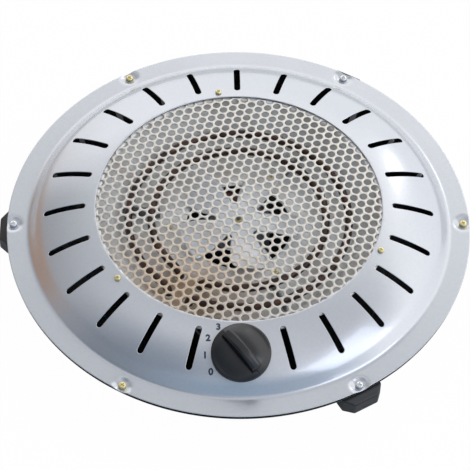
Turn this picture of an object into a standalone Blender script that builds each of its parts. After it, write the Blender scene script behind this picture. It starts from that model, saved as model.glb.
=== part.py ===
# Electric brazier: a flat round heater that hangs in the round hole of a table's foot shelf.
# A pressed steel cover with radial outlet slots carries a perforated dome, an aluminium reflector
# with two ring elements and a rotary switch. A black pan closes it from below and holds three feet,
# the cord gland and the terminal block. A motor under the reflector turns a five-blade fan.
# Metres, +Z up, origin at the centre of the pan's underside, knob towards -Y.

import math

import bmesh
import bpy
from mathutils import Matrix, Vector
from mathutils.geometry import delaunay_2d_cdt

# Clearances
GAP = 0.0003  # between pieces that touch
OVERRUN = 0.004  # how far a cutter runs past what it cuts
AIR_GAP = 0.0004  # between rotor and stator

# Roundness
ROUND_STEPS = 48  # sides of the large turned pieces, so that each slot lies within one flat
SMALL_STEPS = 12  # sides of screws, bushes and holes
TUBE_STEPS = 8
WIRE_STEPS = 6
BEND_STEPS = 5  # along a wire's bend
KNOB_STEPS = 32
ROTOR_STEPS = 24
RING_STEPS = 38  # along an element's ring

# Main circles of the cover; the pieces that follow them take their places from these
FLANGE_R = 0.1875  # the cover's edge
FLANGE_WIDTH = 0.0155
FLANGE_INNER_R = FLANGE_R - FLANGE_WIDTH
SIDE_RUN = 0.023  # from the flange in to where the shoulder starts
SHOULDER_START_R = FLANGE_INNER_R - SIDE_RUN
CROWN_RUN = 0.0342
OPENING_R = SHOULDER_START_R - CROWN_RUN

# Pan
PAN_T = 0.0008
PAN_DEPTH = 0.0443  # underside to the top of its flange
PAN_SETBACK = 0.0005
PAN_FLANGE_R = FLANGE_R - PAN_SETBACK
PAN_WALL_SETBACK = 0.002
PAN_TOP_R = FLANGE_INNER_R - PAN_WALL_SETBACK
PAN_DRAFT = math.radians(25)
PAN_CORNER_R = 0.016
PAN_VENTS = 24
VENT_WIDTH = 0.005
VENT_LOW_Z = 0.014
VENT_HIGH_Z = 0.036
FLOOR_VENTS = 12
FLOOR_VENT_IN_R = 0.062
FLOOR_VENT_OUT_R = 0.094

# Cover: flange, side, shoulder and crown, from the outside in
COVER_T = 0.001
DIMPLE_DEPTH = 0.0024
DIMPLE_TOP_R = 0.008
DIMPLE_FLOOR_R = 0.0055
FOOT_FILLET_R = 0.005
SIDE_SLOPE = math.radians(50)
SHOULDER_R = 0.040
CROWN_R = 0.300
OPENING_SLOPE = math.radians(13)
SLOT_PLACES = 24
SLOT_OFFSET = 0.008  # of its ends, out from the opening and past the shoulder's start
SLOT_IN_R = OPENING_R + SLOT_OFFSET
SLOT_OUT_R = SHOULDER_START_R + SLOT_OFFSET
SLOT_WIDTH = 0.0045
FLANGE_Z = PAN_DEPTH + GAP + COVER_T + DIMPLE_DEPTH

# Screws
SCREW_R = 0.0015
HOLE_R = SCREW_R + GAP
HEAD_R = 0.0033
HEAD_H = 0.0019
FLANGE_SCREW_INSET = 0.0056
FLANGE_SCREW_R = FLANGE_R - FLANGE_SCREW_INSET  # pitch circle
FLANGE_SCREW_LENGTH = 0.007
FOOT_SCREW_LENGTH = 0.013
GRILLE_SCREW_INSET = 0.0057
GRILLE_SCREW_R = OPENING_R + GRILLE_SCREW_INSET
GRILLE_SCREW_LENGTH = 0.0065
GRILLE_HEAD_R = 0.0028
GRILLE_SCREW_ANGLES = [math.radians(a) for a in (97.5, 217.5, 337.5)]
FLANGE_SCREW_COUNT = 6

# Feet
FOOT_REACH = 0.0058  # past the flange's edge
FOOT_H = 0.0135
FOOT_WIDTH = 0.035
FOOT_FACE_WIDTH = 0.021
FOOT_INSET = 0.014
FOOT_INNER_R = FLANGE_R - FOOT_INSET
FOOT_RAMP = 0.0022
FOOT_ROUNDING = 0.0008

# Grille: a shallow sphere of perforated sheet whose rim is pressed to the cover's slope
GRILLE_T = 0.0008
GRILLE_SPHERE_R = 1.1
GRILLE_LAP = 0.0088  # under the cover
GRILLE_RIM_R = OPENING_R + GRILLE_LAP
GRILLE_PITCH = 0.018
GRILLE_HOLE_R = 0.0074
GRILLE_HOLE_SIDES = 6
GRILLE_FIELD_LAP = 0.0027
GRILLE_FIELD_R = OPENING_R + GRILLE_FIELD_LAP  # the perforated field, which ends under the cover
GRILLE_TURN = math.radians(14)

# Reflector
REFLECTOR_T = 0.0008
REFLECTOR_FLOOR_DROP = 0.0035  # below the cover's flange
REFLECTOR_WALL_INSET = 0.0018
REFLECTOR_WALL_R = OPENING_R - REFLECTOR_WALL_INSET  # where the wall meets the rim
REFLECTOR_WALL_SLOPE = math.radians(62)
REFLECTOR_CORNER_R = 0.016
INLET_LAP = 0.0255  # of the floor inside the inner ring

# Elements
ELEMENT_R = 0.00325  # tube radius
OUTER_RING_INSET = 0.024  # from the top of the reflector's wall
OUTER_RING_R = REFLECTOR_WALL_R - OUTER_RING_INSET
RING_SPACING = 0.0185
INNER_RING_R = OUTER_RING_R - RING_SPACING
INLET_R = INNER_RING_R - INLET_LAP
ELEMENT_RISE = 0.0065  # tube axis above the cover's flange
ELEMENT_BEND_R = 0.007
ELEMENT_LEG_DROP = 0.014  # leg's end below the cover's flange
PIN_R = 0.0012
PIN_LENGTH = 0.006
INNER_LEG_ANGLES = (math.radians(244), math.radians(228 + 360))
OUTER_LEG_ANGLES = (math.radians(243), math.radians(231 + 360))
BUSH_R = 0.005
BUSH_COLLAR_R = 0.0075
BUSH_COLLAR_H = 0.003
BUSH_RISE = 0.0025  # above the reflector's floor
CLIP_T = 0.0012
CLIP_IN_LAP = 0.0065  # beyond the inner ring's axis
CLIP_OUT_LAP = 0.0055
CLIP_IN_R = INNER_RING_R - CLIP_IN_LAP
CLIP_OUT_R = OUTER_RING_R + CLIP_OUT_LAP
CLIP_GRIP = 0.0012  # clip's top edge above the tube's axis
CLIP_TAB_WIDTH = 0.006
CLIP_TAB_IN_R = INNER_RING_R + CLIP_TAB_WIDTH
CLIP_TAB_OUT_R = CLIP_TAB_IN_R + CLIP_TAB_WIDTH
CLIP_TAB_DEPTH = 0.003
CLIP_ANGLES = [math.radians(a) for a in (52.5, 172.5, 292.5)]

# Fan
FAN_LAP = 0.005  # over the reflector's floor
FAN_R = INLET_R + FAN_LAP
FAN_T = 0.0008
FAN_BLADES = 5
FAN_STATIONS = 3  # along a blade
FAN_ROOT_R = 0.017
FAN_ROOT_HALF_ANGLE = math.radians(29)
FAN_TIP_HALF_ANGLE = math.radians(17)
FAN_PITCH = math.radians(-20)  # seen from above, each blade's clockwise edge is the high one
FAN_PLATE_RISE = 0.0042  # above the cover's flange
FAN_FIRST_BLADE = math.radians(65)
FAN_HUB_R = 0.006
FAN_HUB_H = 0.0044
FAN_NUT_R = 0.004
FAN_NUT_H = 0.0025
SHAFT_R = 0.002
SHAFT_STAND = 0.0028  # beyond the fan's nut

# Motor bridge
BRIDGE_T = 0.0015
BRIDGE_HUB_R = 0.026
BRIDGE_ARM_WIDTH = 0.012
BRIDGE_LAP = 0.011  # of the arms' screws, under the reflector's floor
BRIDGE_SCREW_R = INLET_R + BRIDGE_LAP
BRIDGE_BORE_R = 0.006
BRIDGE_ANGLES = [math.radians(a) for a in (61, 181, 301)]
BRIDGE_SCREW_LENGTH = 0.006

# Motor
STACK_H = 0.012
STACK_HALF_WIDTH = 0.025
STACK_FRONT = 0.019
STACK_BACK = 0.039
STACK_BAR = 0.0085
STACK_WINDOW_HALF = 0.015
STACK_WINDOW_DEPTH = 0.012
ROTOR_R = 0.0122
ROTOR_H = 0.0142
MOTOR_SCREW_X = 0.0205
SPACER_R = 0.004
SPACER_H = 0.006
BRACKET_T = 0.0012
BRACKET_WIDTH = 0.014
BRACKET_HALF_LENGTH = 0.0245
BRACKET_FOOT_X = 0.0155
BRACKET_CROWN_X = 0.010
BRACKET_RISE = 0.005
BEARING_R = 0.0045
BEARING_H = 0.0046
BOBBIN_CLEARANCE = 0.0004
BOBBIN_T = 0.001
BOBBIN_HALF_LENGTH = 0.0125
BOBBIN_FLANGE_H = 0.0052
COIL_H = 0.0042
CUTOUT_R = 0.007
CUTOUT_H = 0.008
CUTOUT_PEG_R = 0.0016
CUTOUT_INSET = 0.015  # from the arm's screw
CUTOUT_PLACE_R = BRIDGE_SCREW_R - CUTOUT_INSET

# Switch and knob, on the cover's crown
KNOB_OFFSET = 0.0262  # from the opening
KNOB_PLACE_R = OPENING_R + KNOB_OFFSET
KNOB_SKIRT_R = 0.0232
KNOB_SKIRT_H = 0.0030
KNOB_SHOULDER_R = 0.0218
KNOB_SHOULDER_H = 0.0052
KNOB_DISC_H = 0.0070
KNOB_H = 0.0145
KNOB_LIFT = 0.0008
KNOB_WALL = 0.002
KNOB_BOSS_R = 0.0065
KNOB_BOSS_LIFT = 0.0036
GRIP_TOP_WIDTH = 0.0066
GRIP_BASE_WIDTH = 0.0105
GRIP_TOP_R = 0.0212
GRIP_ROUNDING = 0.0008
SPINDLE_R = 0.003
SPINDLE_FLAT = 0.0022  # flat's distance from the axis
SPINDLE_TOP = 0.0105
SPINDLE_BOTTOM = 0.016
POINTER_ANGLE = math.radians(129)  # at position 3, from +X round the knob's axis
SWITCH_SIZE = 0.030
SWITCH_TOP_DROP = 0.0024
SWITCH_H = 0.0216
SWITCH_SHOULDER_R = 0.008
SWITCH_SHOULDER_DROP = 0.0015
SWITCH_NECK_R = 0.0047
SWITCH_NECK_TOP = 0.003
SWITCH_NUT_R = 0.0078
SWITCH_NUT_H = 0.0022
BLADE_WIDTH = 0.0063
BLADE_T = 0.0008
BLADE_LENGTH = 0.007
BLADE_SPACING = 0.009

# Cord gland, terminal block and wires
GLAND_ANGLE = math.radians(90)
GLAND_Z = 0.026
GLAND_BORE_R = 0.004
GLAND_NECK_R = 0.0062
GLAND_FLANGE_R = 0.0085
GLAND_FLANGE_H = 0.0024
GLAND_NOZZLE_R = 0.006
GLAND_NOZZLE_LENGTH = 0.014
BLOCK_INSET = 0.058  # from the top of the pan's wall
BLOCK_PLACE_R = PAN_TOP_R - BLOCK_INSET
BLOCK_LENGTH = 0.030
BLOCK_WIDTH = 0.016
BLOCK_H = 0.013
BLOCK_POLES = 3
BLOCK_WELL_R = 0.0028
BLOCK_WELL_DEPTH = 0.006
BLOCK_PEG_R = 0.003
BLOCK_ENTRY_H = 0.0044  # a wire's entry above the block's underside
WIRE_R = 0.0011
LINK_WIDTH = 0.006
LINK_T = 0.0008
WIRE_LAY_INSET = 0.046
WIRE_LAY_R = PAN_TOP_R - WIRE_LAY_INSET
WIRE_LEAD = 0.022  # length of the bend between a terminal and the lay

# Turns +Z to +X, and +X to +Y
ALONG_X = Matrix(((0, 0, 1, 0), (1, 0, 0, 0), (0, 1, 0, 0), (0, 0, 0, 1)))

# Heights that follow from the stack of sheets
REFLECTOR_FLOOR_Z = FLANGE_Z - REFLECTOR_FLOOR_DROP
BRIDGE_TOP_Z = REFLECTOR_FLOOR_Z - REFLECTOR_T - GAP
SPACER_TOP_Z = BRIDGE_TOP_Z - BRIDGE_T - GAP
UPPER_BRACKET_Z = SPACER_TOP_Z - SPACER_H - GAP  # top of its feet
STACK_TOP_Z = UPPER_BRACKET_Z - BRACKET_T - GAP
STACK_BOTTOM_Z = STACK_TOP_Z - STACK_H
LOWER_BRACKET_Z = STACK_BOTTOM_Z - GAP - BRACKET_T  # underside of its feet
ELEMENT_Z = FLANGE_Z + ELEMENT_RISE
FAN_Z = FLANGE_Z + FAN_PLATE_RISE
BUSH_COLLAR_TOP_Z = REFLECTOR_FLOOR_Z - REFLECTOR_T - GAP

# The cover's upper face, outwards from the opening: crown arc, shoulder arc, side, fillet, flange
SHOULDER_SLOPE = math.asin(math.sin(OPENING_SLOPE) + (SHOULDER_START_R - OPENING_R) / CROWN_R)
SIDE_START_R = SHOULDER_START_R + SHOULDER_R * (math.sin(SIDE_SLOPE) - math.sin(SHOULDER_SLOPE))
FILLET_START_R = FLANGE_INNER_R - FOOT_FILLET_R * math.sin(SIDE_SLOPE)
CROWN_DROP = CROWN_R * (math.cos(OPENING_SLOPE) - math.cos(SHOULDER_SLOPE))
SHOULDER_DROP = SHOULDER_R * (math.cos(SHOULDER_SLOPE) - math.cos(SIDE_SLOPE))
SIDE_DROP = (FILLET_START_R - SIDE_START_R) * math.tan(SIDE_SLOPE)
FILLET_DROP = FOOT_FILLET_R * (1 - math.cos(SIDE_SLOPE))
COVER_RISE = CROWN_DROP + SHOULDER_DROP + SIDE_DROP + FILLET_DROP


def crown_slope(r):
    return math.asin(math.sin(OPENING_SLOPE) + (r - OPENING_R) / CROWN_R)


def crown_z(r):
    drop = CROWN_R * (math.cos(OPENING_SLOPE) - math.cos(crown_slope(r)))
    return FLANGE_Z + COVER_RISE - drop


def crown_frame(r, angle):
    # Place on the cover's crown: Z along the face's normal, X down the slope
    place = Vector((r * math.cos(angle), r * math.sin(angle), crown_z(r)))
    turn = Matrix.Rotation(angle, 4, "Z") @ Matrix.Rotation(crown_slope(r), 4, "Y")
    return Matrix.Translation(place) @ turn


def sphere_z(r):
    return math.sqrt(GRILLE_SPHERE_R**2 - r**2)


def grille_z(r):
    # The dome's upper face, whose rim follows the cover's underside
    if r > OPENING_R:
        return crown_z(r) - COVER_T / math.cos(crown_slope(r)) - GAP
    edge_z = crown_z(OPENING_R) - COVER_T / math.cos(OPENING_SLOPE) - GAP
    return edge_z + sphere_z(r) - sphere_z(OPENING_R)


def rim_z(r):
    # The reflector's rim, under the dome's rim
    return grille_z(r) - GRILLE_T - GAP


def pan_wall_r(z):
    return PAN_TOP_R - (PAN_DEPTH - z) * math.tan(PAN_DRAFT)


def flat_r(r):
    # From the axis to the middle of a large turned piece's flat
    return r * math.cos(math.pi / ROUND_STEPS)


def polar(r, angle, z=0.0):
    return Vector((r * math.cos(angle), r * math.sin(angle), z))


def material(name, colour, roughness, metallic=0.0):
    made = bpy.data.materials.new(name)
    made.use_nodes = True
    shader = made.node_tree.nodes["Principled BSDF"]
    shader.inputs["Base Color"].default_value = (*colour, 1.0)
    shader.inputs["Roughness"].default_value = roughness
    shader.inputs["Metallic"].default_value = metallic
    made.diffuse_color = (*colour, 1.0)
    return made


def add_object(name, bm, finish=None, frame=None):
    bmesh.ops.recalc_face_normals(bm, faces=bm.faces)
    mesh = bpy.data.meshes.new(name)
    bm.to_mesh(mesh)
    bm.free()
    mesh.shade_smooth()
    mesh.set_sharp_from_angle(angle=math.radians(35))
    made = bpy.data.objects.new(name, mesh)
    bpy.context.scene.collection.objects.link(made)
    if frame is not None:
        made.matrix_world = frame
    if finish is not None:
        mesh.materials.append(finish)
    return made


def boolean(target, bm, operation="DIFFERENCE", frame=None):
    # Cuts, joins or trims the target with the shapes in bm, which stay out of renders
    tool = add_object(f"{target.name}.{operation.lower()}", bm, None, frame)
    tool.hide_render = True
    tool.display_type = "WIRE"
    step = target.modifiers.new(operation.title(), "BOOLEAN")
    step.operation = operation
    step.object = tool
    return tool


def ring(bm, r, z, steps):
    # Half a step of turn puts a flat, not a corner, at every sixth of a circle
    if r == 0:
        return [bm.verts.new((0, 0, z))]
    angles = [math.tau * (i + 0.5) / steps for i in range(steps)]
    return [bm.verts.new(polar(r, angle, z)) for angle in angles]


def join_rings(bm, low, high):
    if len(low) == 1 and len(high) == 1:
        return
    steps = max(len(low), len(high))
    for i in range(steps):
        j = (i + 1) % steps
        corners = [low[i % len(low)], low[j % len(low)], high[j % len(high)], high[i % len(high)]]
        bm.faces.new(list(dict.fromkeys(corners)))


def turn_profile(bm, profile, steps=SMALL_STEPS):
    # Turns (r, z) points about Z; a profile that leaves the axis alone closes on itself
    rings = [ring(bm, r, z, steps) for r, z in profile]
    for low, high in zip(rings, rings[1:]):
        join_rings(bm, low, high)
    if profile[0][0] != 0:
        join_rings(bm, rings[-1], rings[0])
    return [corner for loop in rings for corner in loop]


def turned(name, profile, finish, steps=SMALL_STEPS, frame=None):
    bm = bmesh.new()
    turn_profile(bm, profile, steps)
    return add_object(name, bm, finish, frame)


def tube_profile(bore_r, outer_r, low_z, high_z):
    return [(bore_r, low_z), (outer_r, low_z), (outer_r, high_z), (bore_r, high_z)]


def rod_profile(r, low_z, high_z):
    return [(0, low_z), (r, low_z), (r, high_z), (0, high_z)]


def add_rod(bm, r, low_z, high_z, frame=None, steps=SMALL_STEPS):
    corners = turn_profile(bm, rod_profile(r, low_z, high_z), steps)
    bmesh.ops.transform(bm, matrix=frame or Matrix(), verts=corners)


def add_prism(bm, outline, low_z, high_z, frame=None):
    low = [bm.verts.new((x, y, low_z)) for x, y in outline]
    high = [bm.verts.new((x, y, high_z)) for x, y in outline]
    bm.faces.new(low)
    bm.faces.new(high)
    join_rings(bm, low, high)
    bmesh.ops.transform(bm, matrix=frame or Matrix(), verts=low + high)


def rectangle(low_x, high_x, low_y, high_y):
    return [(low_x, low_y), (high_x, low_y), (high_x, high_y), (low_x, high_y)]


def arc(centre, r, start, end, steps):
    sweep = [start + (end - start) * i / steps for i in range(steps + 1)]
    return [(centre[0] + r * math.cos(a), centre[1] + r * math.sin(a)) for a in sweep]


def circle(centre, r, steps=SMALL_STEPS, turn=0.0):
    return arc(centre, r, turn, turn + math.tau, steps)[:-1]


def slot(in_r, out_r, width, end_steps=3):
    # A slot along X with round ends
    r = width / 2
    outer = arc((out_r - r, 0), r, -math.pi / 2, math.pi / 2, end_steps)
    inner = arc((in_r + r, 0), r, math.pi / 2, math.pi * 3 / 2, end_steps)
    return outer + inner


def add_slots(bm, count, in_r, out_r, width, low_z, high_z, skip=()):
    for i in range(count):
        if i not in skip:
            turn = Matrix.Rotation(math.tau * i / count, 4, "Z")
            add_prism(bm, slot(in_r, out_r, width), low_z, high_z, turn)


def plate_mesh(outline, holes, thickness, lift, inner_points=()):
    # A sheet with holes, cut flat and then pressed so that its upper face follows lift(x, y)
    loops = [outline, *holes]
    flat = [Vector(point) for loop in loops for point in loop]
    faces = []
    for loop in loops:
        start = faces[-1][-1] + 1 if faces else 0
        faces.append(list(range(start, start + len(loop))))
    flat += [Vector(point) for point in inner_points]
    points, _, triangles, _, _, inside = delaunay_2d_cdt(flat, [], faces, 1, 1e-7)
    kept = [t for t, loops_in in zip(triangles, inside) if loops_in == [0]]
    used = sorted({corner for t in kept for corner in t})
    bm = bmesh.new()
    upper = {i: bm.verts.new((*points[i], lift(*points[i]))) for i in used}
    lower = {i: bm.verts.new((*points[i], lift(*points[i]) - thickness)) for i in used}
    edges = {(t[i], t[(i + 1) % 3]) for t in kept for i in range(3)}
    for t in kept:
        bm.faces.new([upper[i] for i in t])
        bm.faces.new([lower[i] for i in reversed(t)])
    for a, b in edges:
        if (b, a) not in edges:
            bm.faces.new([upper[b], upper[a], lower[a], lower[b]])
    return bm


def plate(name, outline, holes, thickness, finish, z, frame=None):
    # A flat sheet whose upper face is at z
    return add_object(name, plate_mesh(outline, holes, thickness, lambda x, y: z), finish, frame)


def swept(name, points, radii, finish, steps=TUBE_STEPS):
    # A round bar along the points, with its own radius at each; its section turns with the path
    bm = bmesh.new()
    headings = [(b - a).normalized() for a, b in zip(points, points[1:])]
    side = headings[0].orthogonal().normalized()
    rings = []
    for i, (point, r) in enumerate(zip(points, radii)):
        before = headings[max(i - 1, 0)]
        after = headings[min(i, len(headings) - 1)]
        along = (before + after).normalized()
        side = (side - side.dot(along) * along).normalized()
        across = along.cross(side)
        angles = [math.tau * k / steps for k in range(steps)]
        rings.append([bm.verts.new(point + r * (side * math.cos(a) + across * math.sin(a)))
                      for a in angles])
    for low, high in zip(rings, rings[1:]):
        join_rings(bm, low, high)
    bm.faces.new(rings[0])
    bm.faces.new(rings[-1])
    return add_object(name, bm, finish)


def screw(name, frame, length, finish, head_r=HEAD_R, shank_r=SCREW_R):
    # Pan head on its seat at the frame's origin, shank downwards
    shoulder_r = (head_r + shank_r) / 2
    profile = [(0, -length), (shank_r, -length), (shank_r, GAP), (head_r, GAP),
               (head_r, GAP + HEAD_H / 2), (shoulder_r, GAP + HEAD_H), (0, GAP + HEAD_H)]
    return turned(name, profile, finish, SMALL_STEPS, frame)


def cover_face():
    # (r, z, slope) along the cover's upper face, from the opening to past the flange's edge
    def bend(start_r, start_z, r, start, end, steps):
        slopes = [start + (end - start) * i / steps for i in range(steps + 1)]
        return [(start_r + r * (math.sin(s) - math.sin(start)),
                 start_z + r * (math.cos(s) - math.cos(start)), s) for s in slopes]

    top = FLANGE_Z + COVER_RISE
    face = bend(OPENING_R, top, CROWN_R, OPENING_SLOPE, SHOULDER_SLOPE, 2)
    face += bend(SHOULDER_START_R, top - CROWN_DROP, SHOULDER_R, SHOULDER_SLOPE, SIDE_SLOPE, 3)[1:]
    face += bend(FILLET_START_R, FLANGE_Z + FILLET_DROP, -FOOT_FILLET_R, SIDE_SLOPE, 0, 2)
    return face + [(FLANGE_R + OVERRUN, FLANGE_Z, 0)]


def make_cover(finish):
    face = cover_face()
    under = [(r - COVER_T * math.sin(s), z - COVER_T * math.cos(s)) for r, z, s in face]
    profile = [(r, z) for r, z, s in face] + under[::-1]
    cover = turned("top_cover", profile, finish, ROUND_STEPS)

    pads = bmesh.new()
    cuts = bmesh.new()
    for place in flange_screw_frames():
        floor_z = -COVER_T
        pad = [(0, floor_z), (DIMPLE_FLOOR_R + COVER_T, floor_z),
               (DIMPLE_TOP_R + COVER_T, DIMPLE_DEPTH - COVER_T / 2), (0, DIMPLE_DEPTH - COVER_T / 2)]
        widening = (DIMPLE_TOP_R - DIMPLE_FLOOR_R) / DIMPLE_DEPTH
        hollow = [(0, 0), (DIMPLE_FLOOR_R, 0),
                  (DIMPLE_FLOOR_R + widening * (DIMPLE_DEPTH + OVERRUN), DIMPLE_DEPTH + OVERRUN),
                  (0, DIMPLE_DEPTH + OVERRUN)]
        for bm, points in ((pads, pad), (cuts, hollow)):
            corners = turn_profile(bm, points)
            bmesh.ops.transform(bm, matrix=place, verts=corners)
    boolean(cover, pads, "UNION")
    boolean(cover, cuts)

    holes = bmesh.new()
    knob_place = SLOT_PLACES * 3 // 4
    add_slots(holes, SLOT_PLACES, SLOT_IN_R, SLOT_OUT_R, SLOT_WIDTH,
              FLANGE_Z, FLANGE_Z + COVER_RISE + OVERRUN, skip=(knob_place,))
    for place in flange_screw_frames():
        add_rod(holes, HOLE_R, -COVER_T - OVERRUN, OVERRUN, place, TUBE_STEPS)
    for place in grille_screw_frames():
        add_rod(holes, HOLE_R, -COVER_T - OVERRUN, OVERRUN, place, TUBE_STEPS)
    add_rod(holes, SWITCH_NECK_R + GAP, -COVER_T - OVERRUN, OVERRUN, knob_frame())
    boolean(cover, holes)

    trim = bmesh.new()
    add_rod(trim, FLANGE_R, 0, FLANGE_Z + COVER_RISE + OVERRUN, None, ROUND_STEPS)
    boolean(cover, trim, "INTERSECT")
    return cover


def flange_screw_frames():
    # Seats on the floors of the cover's dimples
    z = FLANGE_Z - DIMPLE_DEPTH
    angles = [math.tau * i / FLANGE_SCREW_COUNT for i in range(FLANGE_SCREW_COUNT)]
    return [Matrix.Rotation(a, 4, "Z") @ Matrix.Translation((FLANGE_SCREW_R, 0, z)) for a in angles]


def grille_screw_frames():
    return [crown_frame(GRILLE_SCREW_R, angle) for angle in GRILLE_SCREW_ANGLES]


def knob_frame():
    return crown_frame(KNOB_PLACE_R, -math.pi / 2)


def lattice(pitch, limit_r, turn):
    # Hexagonal lattice points within a circle
    row_step = pitch * math.sin(math.pi / 3)
    reach = int(limit_r / row_step) + 1
    points = []
    for row in range(-reach, reach + 1):
        for column in range(-2 * reach, 2 * reach + 1):
            point = Vector((pitch * (column + row / 2), row_step * row))
            point.rotate(Matrix.Rotation(turn, 2))
            if point.length <= limit_r:
                points.append(point)
    return points


def make_grille(finish):
    limit_r = GRILLE_FIELD_R - GRILLE_HOLE_R
    flats = GRILLE_TURN + math.pi / 6  # each flat faces the next hole
    holes = [circle(centre, GRILLE_HOLE_R, GRILLE_HOLE_SIDES, flats)
             for centre in lattice(GRILLE_PITCH, limit_r, GRILLE_TURN)]
    rim, bend = (circle((0, 0), r, ROUND_STEPS, math.pi / ROUND_STEPS)
                 for r in (GRILLE_RIM_R, OPENING_R))
    bm = plate_mesh(rim, holes, GRILLE_T, lambda x, y: grille_z(math.hypot(x, y)), bend)
    grille = add_object("grille", bm, finish)
    cut_grille_screw_holes(grille)
    return grille


def cut_grille_screw_holes(target):
    holes = bmesh.new()
    depth = COVER_T + GRILLE_T + REFLECTOR_T + 2 * GAP
    for place in grille_screw_frames():
        add_rod(holes, HOLE_R, -depth - OVERRUN, OVERRUN, place, TUBE_STEPS)
    boolean(target, holes)


def reflector_corner():
    # (r, z, slope) along the upper face, from the floor's edge up to the wall
    r, steps = REFLECTOR_CORNER_R, 2
    wall_rise = rim_z(REFLECTOR_WALL_R) - REFLECTOR_FLOOR_Z - r * (1 - math.cos(REFLECTOR_WALL_SLOPE))
    wall_run = wall_rise / math.tan(REFLECTOR_WALL_SLOPE)
    start_r = REFLECTOR_WALL_R - wall_run - r * math.sin(REFLECTOR_WALL_SLOPE)
    slopes = [REFLECTOR_WALL_SLOPE * i / steps for i in range(steps + 1)]
    return [(start_r + r * math.sin(s), REFLECTOR_FLOOR_Z + r * (1 - math.cos(s)), s) for s in slopes]


def make_reflector(finish):
    t = REFLECTOR_T
    face = [(INLET_R, REFLECTOR_FLOOR_Z, 0), *reflector_corner()]
    under = [(r + t * math.sin(s), z - t * math.cos(s)) for r, z, s in face]
    bend = t * math.tan(REFLECTOR_WALL_SLOPE / 2)
    face += [(r, rim_z(r), 0) for r in (REFLECTOR_WALL_R, OPENING_R, GRILLE_RIM_R)]
    under += [(r, rim_z(r) - t) for r in (REFLECTOR_WALL_R + bend, OPENING_R, GRILLE_RIM_R)]
    profile = [(r, z) for r, z, s in face] + under[::-1]
    reflector = turned("reflector", profile, finish, ROUND_STEPS)

    holes = bmesh.new()
    low, high = REFLECTOR_FLOOR_Z - OVERRUN, REFLECTOR_FLOOR_Z + 2 * OVERRUN
    for place in bush_places():
        add_rod(holes, BUSH_R + GAP, low, high, Matrix.Translation(place))
    for angle in BRIDGE_ANGLES:
        add_rod(holes, HOLE_R, low, high, Matrix.Translation(polar(BRIDGE_SCREW_R, angle)), TUBE_STEPS)
    tab = rectangle(CLIP_TAB_IN_R - GAP, CLIP_TAB_OUT_R + GAP, -CLIP_T / 2 - GAP, CLIP_T / 2 + GAP)
    for angle in CLIP_ANGLES:
        add_prism(holes, tab, low, high, Matrix.Rotation(angle, 4, "Z"))
    boolean(reflector, holes)
    cut_grille_screw_holes(reflector)
    return reflector


def bush_places():
    places = [polar(INNER_RING_R, angle) for angle in INNER_LEG_ANGLES]
    return places + [polar(OUTER_RING_R, angle) for angle in OUTER_LEG_ANGLES]


def make_bush(name, place, finish):
    # Its collar bears on the reflector's underside
    bore_r = ELEMENT_R + GAP
    collar_z = BUSH_COLLAR_TOP_Z - BUSH_COLLAR_H
    top_z = REFLECTOR_FLOOR_Z + BUSH_RISE
    profile = [(bore_r, collar_z), (BUSH_COLLAR_R, collar_z), (BUSH_COLLAR_R, BUSH_COLLAR_TOP_Z),
               (BUSH_R, BUSH_COLLAR_TOP_Z), (BUSH_R, top_z), (bore_r, top_z)]
    return turned(name, profile, finish, SMALL_STEPS, Matrix.Translation(place))


def make_element(name, ring_r, leg_angles, finish):
    # A ring whose two ends bend down through the reflector and end in thin pins
    leg_top = ELEMENT_Z - ELEMENT_BEND_R
    leg_end = FLANGE_Z - ELEMENT_LEG_DROP
    bend_steps = 4
    bend = [(ELEMENT_BEND_R * (1 - math.cos(a)), leg_top + ELEMENT_BEND_R * math.sin(a))
            for a in [math.pi / 2 * i / bend_steps for i in range(bend_steps)]]
    end = [(0, leg_end - PIN_LENGTH, PIN_R), (0, leg_end, PIN_R), (0, leg_end + GAP, ELEMENT_R)]
    end += [(run, z, ELEMENT_R) for run, z in bend]
    start_angle, end_angle = leg_angles
    turned_in = ELEMENT_BEND_R / ring_r
    sweep = end_angle - start_angle - 2 * turned_in
    stations = [(start_angle + run / ring_r, z, r) for run, z, r in end]
    stations += [(start_angle + turned_in + sweep * i / RING_STEPS, ELEMENT_Z, ELEMENT_R)
                 for i in range(RING_STEPS + 1)]
    stations += [(end_angle - run / ring_r, z, r) for run, z, r in reversed(end)]
    points = [polar(ring_r, angle, z) for angle, z, r in stations]
    return swept(name, points, [r for angle, z, r in stations], finish)


def make_clip(name, angle, finish):
    # A radial strip on the reflector's floor; each ring snaps into a notch in its top edge
    top = ELEMENT_Z + CLIP_GRIP
    notch_r = ELEMENT_R + GAP
    open_angle = math.asin(CLIP_GRIP / notch_r)
    tab_z = REFLECTOR_FLOOR_Z - REFLECTOR_T - CLIP_TAB_DEPTH
    floor_z = REFLECTOR_FLOOR_Z + GAP
    (start_r, start_z, _), (bend_r, bend_z, _), _ = reflector_corner()
    end_z = start_z + (CLIP_OUT_R - start_r) * (bend_z - start_z) / (bend_r - start_r)
    outline = [(CLIP_IN_R, floor_z), (CLIP_TAB_IN_R, floor_z), (CLIP_TAB_IN_R, tab_z),
               (CLIP_TAB_OUT_R, tab_z), (CLIP_TAB_OUT_R, floor_z), (flat_r(start_r), floor_z),
               (CLIP_OUT_R, end_z + 2 * GAP), (CLIP_OUT_R, top)]
    for ring_r in (OUTER_RING_R, INNER_RING_R):
        outline += arc((ring_r, ELEMENT_Z), notch_r, open_angle, -math.pi - open_angle, 8)
    outline.append((CLIP_IN_R, top))
    bm = bmesh.new()
    add_prism(bm, outline, -CLIP_T / 2, CLIP_T / 2)
    stand = Matrix.Rotation(angle, 4, "Z") @ Matrix.Rotation(math.pi / 2, 4, "X")
    return add_object(name, bm, finish, stand)


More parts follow.
